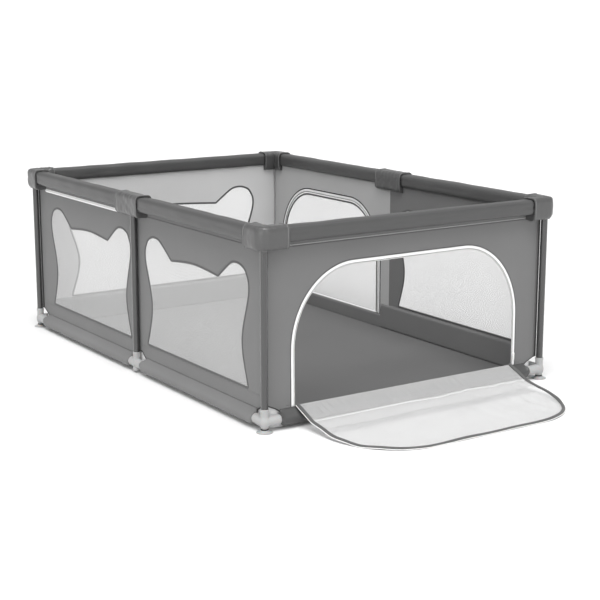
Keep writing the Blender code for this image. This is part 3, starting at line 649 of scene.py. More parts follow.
def corner_path(reach):
    """Stations round a corner at the origin, whose arms run along +x and +y.

    Each station is an inner and an outer edge: straight along one arm, a fan about the inner
    corner whose outer edge is an arc of radius CAP_BEND, and straight along the other arm.
    """
    inner = np.array((CAP_HALF, CAP_HALF))
    centre = np.array((CAP_BEND - CAP_HALF, CAP_BEND - CAP_HALF))
    straight = np.linspace(reach, CAP_HALF, 12)[:-1]
    first_in = np.stack([straight, np.full(11, CAP_HALF)], -1)
    first_out = np.stack([np.interp(straight, (CAP_HALF, reach), (centre[0], reach)),
                          np.full(11, -CAP_HALF)], -1)
    turn = np.linspace(0, math.pi / 2, 19)
    fan_out = centre - np.stack([np.sin(turn), np.cos(turn)], -1) * CAP_BEND
    fan_in = np.broadcast_to(inner, fan_out.shape)
    inner_edge = np.vstack([first_in, fan_in, first_in[::-1, ::-1]])
    outer_edge = np.vstack([first_out, fan_out, first_out[::-1, ::-1]])
    return inner_edge, outer_edge


def straight_path(reach):
    """Stations along a middle cap, whose arms run along -y and +y and whose outside is -x."""
    along = np.linspace(-reach, reach, 36)
    inner_edge = np.stack([np.full(36, CAP_HALF), along], -1)
    outer_edge = np.stack([np.full(36, -CAP_HALF), along], -1)
    return inner_edge, outer_edge


def cap_surface(edges, shrink, seed):
    """The cover's surface: a soft square section carried from the inner edge to the outer.

    At section place (s, t), both from -1 to 1, a point lies a share (1 + s) / 2 of the way from
    the inner edge to the outer one, at a height set by t.  Soft waves and a pull towards the
    sewn ends are added along the section.
    """
    inner_edge, outer_edge = edges
    section = soft_square(1.0, 1.0, CAP_POWER, CAP_SIDES)
    middle = (inner_edge + outer_edge) / 2
    half = (outer_edge - inner_edge) / 2
    width = np.linalg.norm(half, axis=1)
    steps = np.concatenate([[0], np.cumsum(np.linalg.norm(np.diff(outer_edge, axis=0), axis=1))])
    to_end = np.minimum(steps, steps[-1] - steps)[:, None]
    angle = np.arctan2(section[:, 1], section[:, 0])[None, :]
    along, around = np.broadcast_arrays(steps[:, None], angle * 0.04)
    swell = 0.0010 * ripples(along, around, 0.09, seed)
    swell = swell + 0.0006 * ripples(along, around, 0.03, seed + 1)
    pull = -0.0016 * np.exp(-((to_end - 0.004) / 0.004) ** 2) + 0.0008 * np.exp(-to_end / 0.02)
    reach = swell + pull - shrink - CAP_EASE
    across = section[None, :, 0] * (1 + reach / width[:, None])
    half_height = (CAP_TOP - CAP_LOW) / 2
    rise = (CAP_TOP + CAP_LOW) / 2 + section[None, :, 1] * (half_height + reach)
    flat = middle[:, None, :] + half[:, None, :] * across[..., None]
    return np.concatenate([flat, rise[..., None]], -1)


def rail_hollow(edges):
    """The cap's inner surface: the rail's own section, carried along the same stations."""
    inner_edge, outer_edge = edges
    section = soft_square(1.0, 1.0, RAIL_POWER, CAP_SIDES)
    half = (outer_edge - inner_edge) / 2
    middle = (inner_edge + outer_edge) / 2
    flat = middle[:, None] + half[:, None] * (RAIL_HALF / CAP_HALF) * section[:, :1]
    rail_low, rail_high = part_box("rail_pad_front")
    rise = (rail_low.z + rail_high.z) / 2 + RAIL_RISE * section[None, :, 1:]
    return np.concatenate([flat, np.broadcast_to(rise, (*flat.shape[:2], 1))], -1)


def cap_mesh(edges, seed):
    """A padded cover that closes on to the rail at both ends, bored from below for the post."""
    shape = loose_mesh("cap_shape", [sleeve(cap_surface(edges, 0.0, seed), rail_hollow(edges))])
    hole = round_bar(CAP_HOLE, CAP_LOW - 0.01, CAP_LOW + 0.03, (0, 0, 0), UPRIGHT)
    return bored(shape, [loose_mesh("cap_hole", [hole])])


# The caps' cloth is the same coated polyester from a lighter, glossier roll.
cap_cloth = woven("coated_cap_cover", "#444444", "#505050", THREAD_PITCH, 0.00012, 0.10,
                  roughness=0.42, coat_weight=0.50, coat_roughness=0.28)

# Piping: a cord wrapped in a strip of cloth, close to the cover's shade on the caps and paler
# under the front rail.
PIPING_WRAP = {"tone_scale": 500.0, "detail": 1.0, "grain": (500.0, 0.3, 0.0003),
               "roughness": 0.6, "sheen_weight": 0.2}
piping_cloth = mottled("rail_piping_cloth", "#989898", "#a8a8a8", **PIPING_WRAP)
cap_piping_cloth = mottled("cap_piping_cloth", "#626262", "#707070", **PIPING_WRAP)


def cord_round(path, radius, sides=8, closed=True):
    """A round cord along a path of points: each ring stands square to the path's direction."""
    ahead = np.roll(path, -1, axis=0) - np.roll(path, 1, axis=0)
    if not closed:
        ahead = np.gradient(path, axis=0)
    ahead = ahead / np.linalg.norm(ahead, axis=1, keepdims=True)
    helper = np.where(np.abs(ahead[:, 2:3]) < 0.8, (0.0, 0.0, 1.0), (1.0, 0.0, 0.0))
    side = np.cross(ahead, helper)
    side = side / np.linalg.norm(side, axis=1, keepdims=True)
    rise = np.cross(side, ahead)
    turn = np.linspace(0, 2 * math.pi, sides + 1)[None, :, None]
    size = np.broadcast_to(radius, len(path))[:, None, None]
    rings = path[:, None] + size * (side[:, None] * np.cos(turn) + rise[:, None] * np.sin(turn))
    if closed:
        rings = np.concatenate([rings, rings[:1]])
        path = np.concatenate([path, path[:1]])
    else:
        rings = np.concatenate([np.broadcast_to(path[:1, None], rings[:1].shape), rings,
                                np.broadcast_to(path[-1:, None], rings[:1].shape)])
        path = np.concatenate([path[:1], path, path[-1:]])
    length = np.concatenate([[0], np.cumsum(np.linalg.norm(np.diff(path, axis=0), axis=1))])
    uv = np.stack(np.broadcast_arrays(length[:, None], turn[..., 0] * 0.003), -1)
    return rings, grid_faces(*rings.shape[:2]), uv


PIPING_RADIUS = 0.0019
HEM_CORD_RADIUS = 0.0011
HEM_CORD_SIDE = 55
cap_meshes = {}
piping_meshes = {}
CAP_SEED = 40
for kind, edges in (("corner", corner_path(CAP_REACH)), ("middle", straight_path(MIDDLE_CAP_REACH))):
    cap_meshes[kind] = cap_mesh(edges, CAP_SEED)
    surface = cap_surface(edges, -FIT, CAP_SEED)
    loops = [cord_round(surface[1, :-1], PIPING_RADIUS), cord_round(surface[-2, :-1], PIPING_RADIUS),
             cord_round(surface[1:-1, HEM_CORD_SIDE], HEM_CORD_RADIUS, closed=False)]
    item = loose_mesh("piping", loops)
    piping_meshes[kind] = item.data
    bpy.data.objects.remove(item, do_unlink=True)


def add_uv_from_place(mesh, post):
    """UV places in metres for a cap: how far round the post, and how high."""
    corner = np.zeros(len(mesh.loops), np.int32)
    mesh.loops.foreach_get("vertex_index", corner)
    points = np.zeros(len(mesh.vertices) * 3, np.float32)
    mesh.vertices.foreach_get("co", points)
    points = points.reshape(-1, 3)[corner]
    x, y = post_place(post)
    flat = np.stack([points[:, 0] - x + points[:, 1] - y, points[:, 2] * 0.9 + points[:, 0] * 0.1], -1)
    layer = mesh.uv_layers.get("UVMap") or mesh.uv_layers.new(name="UVMap")
    layer.data.foreach_set("uv", flat.astype(np.float32).ravel())


for post in POSTS:
    kind = "middle" if post.startswith("middle") else "corner"
    cap = place_copy(f"padded_cap_{post}", cap_meshes[kind], post, cap_cloth,
                     f"rail_cap_{post}", 60)
    add_uv_from_place(cap.data, post)
    cords = quarter_turned(piping_meshes[kind], post)
    cords.materials.append(cap_piping_cloth)
    cords.shade_smooth()
    add_piece(f"cap_piping_{post}", cords, "frame")


# ---------------------------------------------------------------- cloth walls
# Four walls of woven polyester hang from under the rails.  Each is sewn to a sleeve at its foot
# that holds the bottom tube, and is cut away over every foot.  The cloth is taut, and bows in
# a few millimetres between the posts.

# Plain-woven polyester, about 600 denier: a dry, even mid grey outside.  Its paler inside is
# painted light, for the light that comes through the thin cloth; the back wall's inside is
# painted paler still.
# Threads are 0.5 mm apart, and they are drawn 1.5 mm apart.
CANVAS_PITCH = 0.0015
wall_cloth = woven("woven_polyester", "#707070", "#787878", CANVAS_PITCH, 0.00020, 0.25,
                   roughness=0.8, sheen_weight=0.1)
painted_lit_wall_back = woven("woven_polyester_painted_lit_back", "#b0b0b0", "#bababa", CANVAS_PITCH, 0.00020, 0.25,
                  roughness=0.8, sheen_weight=0.1)
# The back wall's inside is palest: painted light.  The same pale cloth makes the door's crease seam.
pale_seam_and_lit_lining = woven("pale_seam_and_painted_lit_lining", "#d0d0d0", "#dadada", CANVAS_PITCH, 0.00020, 0.25,
                    roughness=0.8)

WALL_TURN = {"front": 0.0, "right": 90.0, "back": 180.0, "left": -90.0}
WALL_PLANE = {"front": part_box("mesh_window_back")[1].y, "back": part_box("mesh_window_back")[1].y,
              "left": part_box("mesh_window_right")[1].x, "right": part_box("mesh_window_right")[1].x}
WALL_SPAN = {"front": CORNER_X, "back": CORNER_X, "left": CORNER_Y, "right": CORNER_Y}
MESH_HALF = 0.0005
RAIL_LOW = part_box("rail_pad_front")[0].z
FOOT_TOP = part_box("foot_front_left")[1].z
CLOTH_THICK = 0.0016


def fade(distance, over):
    """0 at no distance and 1 from over outwards, smooth at both ends."""
    share = np.clip(distance / over, 0, 1)
    return share * share * (3 - 2 * share)


def bow(side, a, z):
    """How far a wall's cloth lies inside its plane at (a, z), in metres.

    A shallow sine bow between hem and rail and soft random waves, which fade out towards the
    hem, the rail and each post.
    """
    room = fade(WALL_SPAN[side] - 0.03 - np.abs(a), 0.10)
    if side in ("left", "right"):
        room = room * fade(np.abs(a) - 0.03, 0.08)
    height = np.clip((z - 0.075) / (RAIL_LOW - 0.085), 0, 1)
    seed = 70 + len(side) * 3
    waves = 0.5 * ripples(a, z * 0.6, 0.35, seed) + 0.22 * ripples(a * 1.4, z * 0.5, 0.09, seed + 1)
    return np.sin(height * math.pi) * room * (0.0020 + 0.0014 * waves)


def on_wall(side, a, z, out=0.0):
    """A wall's own (along, height, outwards) as a place in the room, following its bow."""
    turn = math.radians(WALL_TURN[side])
    away = WALL_PLANE[side] - MESH_HALF + out - bow(side, a, z)
    x = a * math.cos(turn) + away * math.sin(turn)
    y = a * math.sin(turn) - away * math.cos(turn)
    return np.stack(np.broadcast_arrays(x, y, z), -1)


def resample(points, count, corners=False):
    """Points at equal steps along a line of points, ends included.

    With corners, the nearest step to each given point is moved onto it.
    """
    points = np.array(points, float)
    steps = np.concatenate([[0], np.cumsum(np.linalg.norm(np.diff(points, axis=0), axis=1))])
    spots = np.linspace(0, steps[-1], count)
    if corners:
        spots[np.rint(steps / steps[-1] * (count - 1)).astype(int)] = steps
    return np.stack([np.interp(spots, steps, points[:, k]) for k in range(points.shape[1])], -1)


def curve_through(points, steps):
    """A Catmull-Rom curve: each stretch is the cubic that leaves its two points parallel to
    the line between their neighbours."""
    points = np.array(points, float)
    row = np.vstack([points[:1], points, points[-1:]])
    a, b, c, d = row[:-3, None], row[1:-2, None], row[2:-1, None], row[3:, None]
    t = np.linspace(0, 1, steps, endpoint=False)[None, :, None]
    curve = 0.5 * (2 * b + (c - a) * t + (2 * a - 5 * b + 4 * c - d) * t ** 2
                   + (3 * b - a - 3 * c + d) * t ** 3)
    return np.vstack([curve.reshape(-1, 2), points[-1:]])


WAIST = 0.044
SHALLOW_WAIST = 0.018


def crown_side(side, waist, z_low, z_top):
    """One side of a window, from its foot over the waist and the lobe to the dip."""
    return curve_through([(side - 0.006, z_low), (side - waist, z_low + 0.152),
                           (side, z_top - 0.088), (side - 0.014, z_top - 0.026),
                           (side - 0.045, z_top - 0.004), (side - 0.085, z_top),
                           (side - 0.122, z_top - 0.013), (side - 0.195, z_top - 0.065)], 14)


def crown(low, high, z_low, z_top, left_waist):
    """A window's edge as bottom, right, top and left lines: two lobes and a shallow crest."""
    middle = (low + high) / 2
    side = (high - low) / 2
    right = crown_side(side, WAIST, z_low, z_top)
    crest = curve_through([(side - 0.195, z_top - 0.065), (0, z_top - 0.052),
                           (0.195 - side, z_top - 0.065)], 14)
    lobe = 5 * 14
    left = crown_side(side, left_waist, z_low, z_top)[::-1] * (-1, 1)
    top = np.vstack([right[lobe:], crest[1:-1], left[:-lobe]])
    bottom = np.array([left[-1], right[0]])
    return [line + (middle, 0) for line in (bottom, right[:lobe + 1], top, left[-lobe - 1:])]


def arch(low, high, sill, top, corner_width, corner_height):
    """A doorway's edge as bottom, right, top and left lines, with elliptical upper corners."""
    middle = (low + high) / 2
    side = (high - low) / 2
    turn = np.linspace(0, math.pi / 2, 25)
    corner = np.stack([side - corner_width + corner_width * np.cos(turn),
                       top - corner_height + corner_height * np.sin(turn)], -1)
    right = np.vstack([[(side, sill)], corner[:13]])
    flip = np.array((-1, 1))
    over = np.vstack([corner[12:], corner[12:][::-1] * flip])
    left = (right * flip)[::-1]
    bottom = np.array([left[-1], right[0]])
    return [line + (middle, 0) for line in (bottom, right, over, left)]


def notch_line(edge, post, notch, way):
    """A panel's edge where it steps over a foot, from the post down to the hem's end."""
    mouth = post + way * (SOCKET_RADIUS + 0.004)
    foot = post + way * notch
    return np.array([(edge, FOOT_TOP + 0.003), (mouth, FOOT_TOP + 0.003),
                     (foot - way * 0.016, FOOT_TOP - 0.012), (foot, 0.056), (foot, LOW_TUBE_Z - 0.003)])


UNDER_CAP = 0.012
TOP_TUCK = 0.0022


def cloth_edge(start, end):
    """A panel's outer edge as bottom, right, top and left lines, stepped over feet and caps.

    start and end are (edge, post, notch, cap reach), all measured along the wall.
    """
    lines = []
    for (edge, post, notch, reach), way in ((start, 1), (end, -1)):
        cap = post + way * reach
        lines.append(notch_line(edge, post, notch, way))
        under = cap - way * UNDER_CAP
        lines.append(np.array([(edge, CAP_LOW + TOP_TUCK), (under, CAP_LOW + TOP_TUCK),
                               (under, RAIL_LOW + TOP_TUCK)]))
    bottom = np.vstack([lines[0], lines[2][::-1]])
    top = np.vstack([lines[3], lines[1][::-1]])
    right = np.array([lines[2][0], lines[3][0]])
    left = np.array([lines[1][0], lines[0][0]])
    return [bottom, right, top, left]


def area_of(lines):
    """The area inside a closed edge given as lines: half the sum of its cross products."""
    loop = np.vstack(lines)
    after = np.roll(loop, -1, axis=0)
    return abs(float((loop[:, 0] * after[:, 1] - loop[:, 1] * after[:, 0]).sum()) / 2)


PANEL_COUNTS = (150, 110, 170, 110)
PANEL_RINGS = 16


def panel(side, opening, edge):
    """Cloth between an opening's edge and a panel's edge: straight lines joined ring by ring.

    Ring r lies a share of the way from the opening to the edge, closer together at the
    opening.  Points along each of the four stretches are matched by their share of its length.
    """
    inner = np.vstack([resample(line, n)[:-1] for line, n in zip(opening, PANEL_COUNTS)])
    outer = np.vstack([resample(line, n, True)[:-1] for line, n in zip(edge, PANEL_COUNTS)])
    inner = np.vstack([inner, inner[:1]])
    outer = np.vstack([outer, outer[:1]])
    share = np.linspace(0, 1, PANEL_RINGS)[:, None, None] ** 1.15
    flat = inner + (outer - inner) * share
    points = on_wall(side, flat[..., 0], flat[..., 1])
    return points, grid_faces(*points.shape[:2]), flat


def crown_of(node, side, left_waist=WAIST):
    """The crown outline that fills a mesh window's node, in its wall's own places."""
    low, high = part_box(node)
    turn = math.radians(WALL_TURN[side])
    ends = sorted(corner.x * math.cos(turn) + corner.y * math.sin(turn) for corner in (low, high))
    return crown(ends[0] - FIT, ends[1] + FIT, low.z - FIT, high.z + FIT, left_waist)


CORNER_NOTCH, MIDDLE_NOTCH = CORNER_REACH + 0.006, MIDDLE_REACH + 0.006
SILL_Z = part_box("front_door_apron")[1].z - 0.001
DOOR_LOW, DOOR_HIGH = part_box("front_door_apron")[0].x - 0.0008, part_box("front_door_apron")[1].x + 0.0008
DOOR_TOP = RAIL_LOW - 0.102
SIDE_LOW, SIDE_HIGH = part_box("side_door_flap")[0].y - 0.0008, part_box("side_door_flap")[1].y + 0.0008
SIDE_TOP = RAIL_LOW - 0.097
OPENING_SILL = SILL_Z - 0.0022
DOOR_ROUND = (0.236, 0.266)
SIDE_ROUND = (0.206, 0.236)
front_doorway = arch(DOOR_LOW, DOOR_HIGH, OPENING_SILL, DOOR_TOP, *DOOR_ROUND)
side_doorway = arch(SIDE_LOW, SIDE_HIGH, OPENING_SILL, SIDE_TOP, *SIDE_ROUND)

PLAN = {
    "front": [("front", front_doorway)],
    "back": [("back", crown_of("mesh_window_back", "back"))],
    "left": [("left_front", crown_of("mesh_window_left_front", "left")),
             ("left_back", crown_of("mesh_window_left_back", "left"))],
    "right": [("right_front", crown_of("mesh_window_right", "right", SHALLOW_WAIST)),
              ("right_back", side_doorway)],
}


LONG_EDGE_IN = 0.0135
SHORT_EDGE_IN = 0.0158


def spots(side):
    """Where a wall's panels end: (edge, post, notch, cap reach), along the wall."""
    half = WALL_SPAN[side]
    span = half - (LONG_EDGE_IN if side in ("left", "right") else SHORT_EDGE_IN)
    ends = [(-span, -half, CORNER_NOTCH, CAP_REACH), (span, half, CORNER_NOTCH, CAP_REACH)]
    if side in ("front", "back"):
        return ends
    return [ends[0], (0.0, 0.0, MIDDLE_NOTCH, MIDDLE_CAP_REACH), ends[1]]


def panels_of(side):
    """A wall's panels in their order along it: (label, opening, start, end)."""
    order = PLAN[side][::-1] if side == "left" else PLAN[side]
    places = spots(side)
    return [(*panel, start, end) for panel, start, end in zip(order, places, places[1:])]


HEM_THICK = 0.0014
HEM_SIDES = 57
HEM_SEAM_Z = 0.0635
HEM_OVERLAP = 0.0090
GATHER = 0.012
MOUTH_RADIUS = 0.0160
SEAM_ANGLE = 112
WALL_IN = 0.0145


def hem_section(grow):
    """The sleeve's section as (outwards, height): the hull of a seam point and a round.

    The round holds the bottom tube, and straight sides run from it up to the seam.
    """
    centre = np.array((0.0152, 0.0286))
    radius = 0.0176 - grow
    seam = np.array((0.0016 + grow * 0.3, HEM_SEAM_Z - grow * 2.5))
    offset = seam - centre
    distance = np.linalg.norm(offset)
    toward = math.atan2(offset[1], offset[0])
    lean = math.acos(radius / distance)
    turn = np.linspace(toward + lean, toward + 2 * math.pi - lean, 40)
    arc = centre + radius * np.stack([np.cos(turn), np.sin(turn)], -1)
    return resample(np.vstack([seam, arc, seam]), HEM_SIDES)


def hem(side, name, start, end):
    """A sleeve between two feet: its section is carried level along the wall, and at each end
    it draws in to a circle round the foot's arm."""
    ends = np.linspace(0, GATHER, 6)[:-1]
    between = np.linspace(start + GATHER, end - GATHER, 110)
    stops = np.concatenate([start + ends, between, end - ends[::-1]])
    open_share = fade(np.minimum(stops - start, end - stops), GATHER)[:, None, None]
    turn = np.linspace(0, 2 * math.pi, HEM_SIDES) + math.radians(SEAM_ANGLE)
    circle = np.stack([np.cos(turn), np.sin(turn)], -1)
    surfaces = []
    for grow in (0.0, HEM_THICK):
        ring = np.array((WALL_IN, LOW_TUBE_Z)) + (MOUTH_RADIUS - grow) * circle
        section = ring + (hem_section(grow) - ring) * open_share
        a, out, z = np.broadcast_arrays(stops[:, None], section[..., 0], section[..., 1])
        sag = 0.0006 * ripples(a, z, 0.12, 90) * fade(0.06 - z, 0.03)
        surfaces.append(on_wall(side, a, z, out + sag))
    # The front sleeve takes the darker rail cloth: painted shade on the front of the hem.
    cloth = rail_cloth if side == "front" else wall_cloth
    return put_mesh(name, *sleeve(*surfaces), cloth, "frame", "wall_fabric")


def face_outwards(piece):
    """Turn an open sheet's faces away from the middle of the pen."""
    first = piece.data.polygons[0]
    if first.normal.dot(first.center) < 0:
        piece.data.flip_normals()


def thicken(piece, thickness, rim):
    """Give a sheet its thickness about its middle.  Its inner side takes the next material."""
    cloth = piece.modifiers.new("cloth", "SOLIDIFY")
    cloth.thickness = thickness
    cloth.offset = 0.0
    cloth.material_offset = 1
    cloth.material_offset_rim = rim


# The front wall and the front half of the right wall keep the outer grey on both sides, without
# the painted light of the paler insides.
for side, panels in PLAN.items():
    parts = []
    cut = 0.0
    for label, opening, start, end in panels_of(side):
        edge = cloth_edge(start, end)
        parts.append(panel(side, opening, edge))
        cut += area_of(edge) - area_of(opening)
        hem(side, f"wall_hem_{label}", start[1] + start[2] - HEM_OVERLAP,
                        end[1] - end[2] + HEM_OVERLAP)
    counts = np.cumsum([0] + [part[0].reshape(-1, 3).shape[0] for part in parts])
    points = np.vstack([part[0].reshape(-1, 3) for part in parts])
    faces = np.vstack([part[1] + count for part, count in zip(parts, counts)])
    uv = np.vstack([part[2].reshape(-1, 2) for part in parts])
    wall = put_mesh(f"cloth_wall_{side}", points, faces, uv, wall_cloth, "frame", "wall_fabric")
    face_outwards(wall)
    # Paler insides: painted light for the light through the cloth, palest on the back wall.
    wall.data.materials.append(pale_seam_and_lit_lining if side == "back" else painted_lit_wall_back)
    if side in ("front", "right"):
        wall.data.materials.append(wall_cloth)
        wall.data.materials.append(wall_cloth)
        for polygon in wall.data.polygons[:len(parts[0][1])]:
            polygon.material_index = 2
    thicken(wall, CLOTH_THICK, rim=0)
    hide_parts(f"wall_{side}")


# ---------------------------------------------------------------- mesh windows and their binding
# Fine white net fills each window.  A folded strip of darker ribbed tape is sewn round the cut
# edge on both faces, and a level seam crosses the panel under the net.

# Knitted polyester net, white: open diamonds about 1.5 mm across between soft threads.  It is
# drawn at 2.4 mm, and a little over half of it is thread.
NET_PITCH = 0.0024
NET_THREAD = 0.19
NET_FROM, NET_FULL = 0.75 - NET_THREAD, 1.10 - NET_THREAD
white_net, shader = new_material("white_polyester_net", roughness=0.7, sheen_weight=0.2)
place = add_node(white_net, "ShaderNodeTexCoord", {}, {})
slanted = add_node(white_net, "ShaderNodeMapping", {},
                   {"Vector": place.outputs["UV"], "Rotation": (0, 0, math.radians(45))})
threads = []
for direction in ("X", "Y"):
    band = add_node(white_net, "ShaderNodeTexWave", {"bands_direction": direction},
                    {"Vector": slanted.outputs[0], "Scale": WAVE_UNIT / NET_PITCH})
    threads.append(add_node(white_net, "ShaderNodeMapRange", {},
                            {0: band.outputs["Fac"], 1: NET_FROM, 2: NET_FULL}))
net = add_node(white_net, "ShaderNodeMath", {"operation": "MAXIMUM"},
               {0: threads[0].outputs[0], 1: threads[1].outputs[0]})
cloud = add_node(white_net, "ShaderNodeTexNoise", {},
                 {"Vector": place.outputs["Object"], "Scale": 5.0, "Detail": 2.0})
tone = add_node(white_net, "ShaderNodeMix", {"data_type": "RGBA"},
                {0: cloud.outputs[0], 6: linear("#c8c8c8"), 7: linear("#d0d0d0")})
bump = add_node(white_net, "ShaderNodeBump", {}, {"Strength": 0.3, "Distance": 0.0003,
                                                  "Height": net.outputs[0]})
white_net.node_tree.links.new(tone.outputs[2], shader.inputs["Base Color"])
white_net.node_tree.links.new(net.outputs[0], shader.inputs["Alpha"])
white_net.node_tree.links.new(bump.outputs[0], shader.inputs["Normal"])

# Ribbed binding tape: dark grey, matt, with ribs across its width 1.5 mm apart.
RIB_PITCH = 0.0015


def ribbed(name, dark, light, pitch, way="X", depth=None, **sockets):
    """Tape with fine ribs on its UV places: a wave texture mixes two shades and lifts the ribs."""
    tape, shader = new_material(name, **sockets)
    place = add_node(tape, "ShaderNodeTexCoord", {}, {})
    rib = add_node(tape, "ShaderNodeTexWave", {"bands_direction": way},
                   {"Vector": place.outputs["UV"], "Scale": WAVE_UNIT / pitch})
    tone = add_node(tape, "ShaderNodeMix", {"data_type": "RGBA"},
                    {0: rib.outputs["Fac"], 6: linear(dark), 7: linear(light)})
    tape.node_tree.links.new(tone.outputs[2], shader.inputs["Base Color"])
    if depth:
        bump = add_node(tape, "ShaderNodeBump", {},
                        {"Strength": 0.4, "Distance": depth, "Height": rib.outputs["Fac"]})
        tape.node_tree.links.new(bump.outputs[0], shader.inputs["Normal"])
    return tape


binding_tape = ribbed("ribbed_binding_tape", "#4a4a4a", "#5a5a5a", RIB_PITCH, depth=0.0003,
                      roughness=0.72, sheen_weight=0.15)


def beside(loop, closed=True):
    """The unit vector square to a flat line at each point, on its right-hand side."""
    ahead = np.gradient(loop, axis=0)
    if closed:
        ahead = np.roll(loop, -1, axis=0) - np.roll(loop, 1, axis=0)
    ahead = ahead / np.maximum(np.linalg.norm(ahead, axis=1, keepdims=True), 1e-9)
    return np.stack([ahead[:, 1], -ahead[:, 0]], -1)


def trim(place_of, line, section, closed):
    """A strip carried along a flat line: section places are (beside it, out of the cloth).

    place_of turns flat places and a height above the cloth into room places.  An open strip's
    ends shrink to a point, so they close.
    """
    right = beside(line, closed)
    if closed:
        line = np.vstack([line, line[:1]])
        right = np.vstack([right, right[:1]])
    size = np.ones(len(line))
    if not closed:
        line = np.vstack([line[:1], line, line[-1:]])
        right = np.vstack([right[:1], right, right[-1:]])
        size = np.concatenate([[0], size, [0]])
    middle = section.mean(0)
    section = middle + (section - middle) * size[:, None, None]
    flat = line[:, None] + right[:, None] * section[..., :1]
    points = place_of(flat[..., 0], flat[..., 1], section[..., 1])
    length = np.concatenate([[0], np.cumsum(np.linalg.norm(np.diff(line, axis=0), axis=1))])
    girth = np.linspace(0, 0.02, section.shape[1])
    uv = np.stack(np.broadcast_arrays(length[:, None], girth[None, :]), -1)
    return points, grid_faces(*points.shape[:2]), uv


def sewn(name, place_of, line, section, material, body="frame", slot="wall_fabric", closed=False):
    """A strip sewn on the cloth along a flat line, as a piece of its own."""
    return put_mesh(name, *trim(place_of, line, section, closed), material, body, slot)


def flat_oval(width, height, shift=0.0, lift=0.0, power=2.6, sides=14):
    """A strip's section: a superellipse of this width and height, moved beside the line."""
    return soft_square(width / 2, height / 2, power, sides) + (shift, lift)


def whole_loop(lines, step=0.004):
    """A closed edge's lines run together and resampled at about this step."""
    loop = np.vstack([line[:-1] for line in lines])
    loop = np.vstack([loop, loop[:1]])
    length = np.linalg.norm(np.diff(loop, axis=0), axis=1).sum()
    return resample(loop, int(length / step))[:-1]


def fan(side, lines, rings):
    """Net inside an edge: rings that shrink from the edge to a single middle point."""
    loop = whole_loop(lines, 0.006)
    loop = np.vstack([loop, loop[:1]])
    middle = np.array([(loop[:, 0].min() + loop[:, 0].max()) / 2, 0.300])
    share = np.linspace(1, 0, rings)[:, None, None]
    flat = middle + (loop - middle) * share
    points = on_wall(side, flat[..., 0], flat[..., 1])
    return points, grid_faces(*points.shape[:2]), flat


BINDING_WIDTH = 0.0085
BINDING_HEIGHT = 0.0044
WINDOWS = (("back", "back", "mesh_window_back"),
           ("left_front", "left", "mesh_window_left_front"),
           ("left_back", "left", "mesh_window_left_back"),
           ("right_front", "right", "mesh_window_right"))
outlines = {label: lines for panels in PLAN.values() for label, lines in panels}
for label, side, node in WINDOWS:
    lines = outlines[label]
    net_piece = put_mesh(f"net_window_{label}", *fan(side, lines, 26), white_net, "frame", "white_mesh")
    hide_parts(node)
    loop = whole_loop(lines)
    binding = sewn(f"window_binding_{label}", partial(on_wall, side), loop,
                   flat_oval(BINDING_WIDTH, BINDING_HEIGHT, 0.002), binding_tape, closed=True)
    width, height = np.ptp(loop[:, 0]), np.ptp(loop[:, 1])


# ---------------------------------------------------------------- seams along the walls
# A narrow flat fell seam crosses each panel under its window, and a dark bound edge marks where
# the hem sleeve is sewn on.  A stitched seam runs under each rail but the left back one, which
# has a zip there, and the front one has a pale cord above it.

FELL_SEAM_Z = 0.1110
RAIL_CORD_Z = RAIL_LOW - 0.0135
RAIL_SEAM_Z = RAIL_LOW - 0.0190
FELL_SEAM = flat_oval(0.005, 0.0036, power=3.5)
HEM_SEAM = flat_oval(0.0016, 0.0052, power=2.2)
RAIL_CORD = flat_oval(0.0040, 0.0056, power=2.0)
RAIL_SEAM = flat_oval(0.0020, 0.0024, 0.0, 0.0014, power=2.2)


def level_seam(name, side, start, end, height, section, material):
    """A straight strip along a wall at one height."""
    line = np.stack([np.linspace(start, end, 60), np.full(60, height)], -1)
    sewn(name, partial(on_wall, side), line, section, material)


for side in PLAN:
    for label, _, start, end in panels_of(side):
        if label not in ("front", "right_back"):
            level_seam(f"fell_seam_{label}", side, start[1] + 0.020, end[1] - 0.020, FELL_SEAM_Z,
                       FELL_SEAM, wall_cloth)
        level_seam(f"hem_seam_{label}", side, start[1] + start[2], end[1] - end[2], HEM_SEAM_Z,
                   HEM_SEAM, binding_tape)
        under = (start[1] + start[3] - 0.002, end[1] - end[3] + 0.002)
        if label == "front":
            level_seam(f"rail_cord_{label}", side, *under, RAIL_CORD_Z, RAIL_CORD, piping_cloth)
        if label != "left_back":
            level_seam(f"rail_seam_{label}", side, *under, RAIL_SEAM_Z, RAIL_SEAM, binding_tape)


# ---------------------------------------------------------------- corner seams and base cloth
# The walls are sewn to one another up a corded seam behind each corner post, near-black as
# painted shade for the gap between post and wall.  Inside, a band of base cloth runs round the
# foot of the walls and tucks under the mat; it reaches up to the fell seam, but only to the sill
# under a door.

# Cord wrapped in near-black cloth: matt, with fine ribs of thread.  Its near-black is painted
# shade: up the corners, along the cut edges over the feet and outside the side doorway's zip.
dark_seam_and_shade_cord = ribbed("dark_seam_cord_painted_shade", "#262626", "#343434", RIB_PITCH, roughness=0.8)

# The base cloth's outer side is its white coated back.
base_cloth = woven("white_coated_back", "#ececec", "#f6f6f6", CANVAS_PITCH, 0.00020, 0.25,
                   roughness=0.7)

CORNER_CORD = 0.0034
CORD_IN = 0.0119
for post in POSTS:
    if not post.startswith("middle"):
        x, y = np.array(post_place(post)) * (1 - CORD_IN / CORNER_X, 1 - CORD_IN / CORNER_Y)
        heights = np.linspace(FOOT_TOP + 0.004, CAP_LOW + 0.006, 40)
        upright = np.stack(np.broadcast_arrays(x, y, heights), -1)
        cord = cord_round(upright, CORNER_CORD, 12, closed=False)
        put_mesh(f"corner_seam_{post}", *cord, dark_seam_and_shade_cord, "frame", "wall_fabric")

NOTCH_COUNT = 40
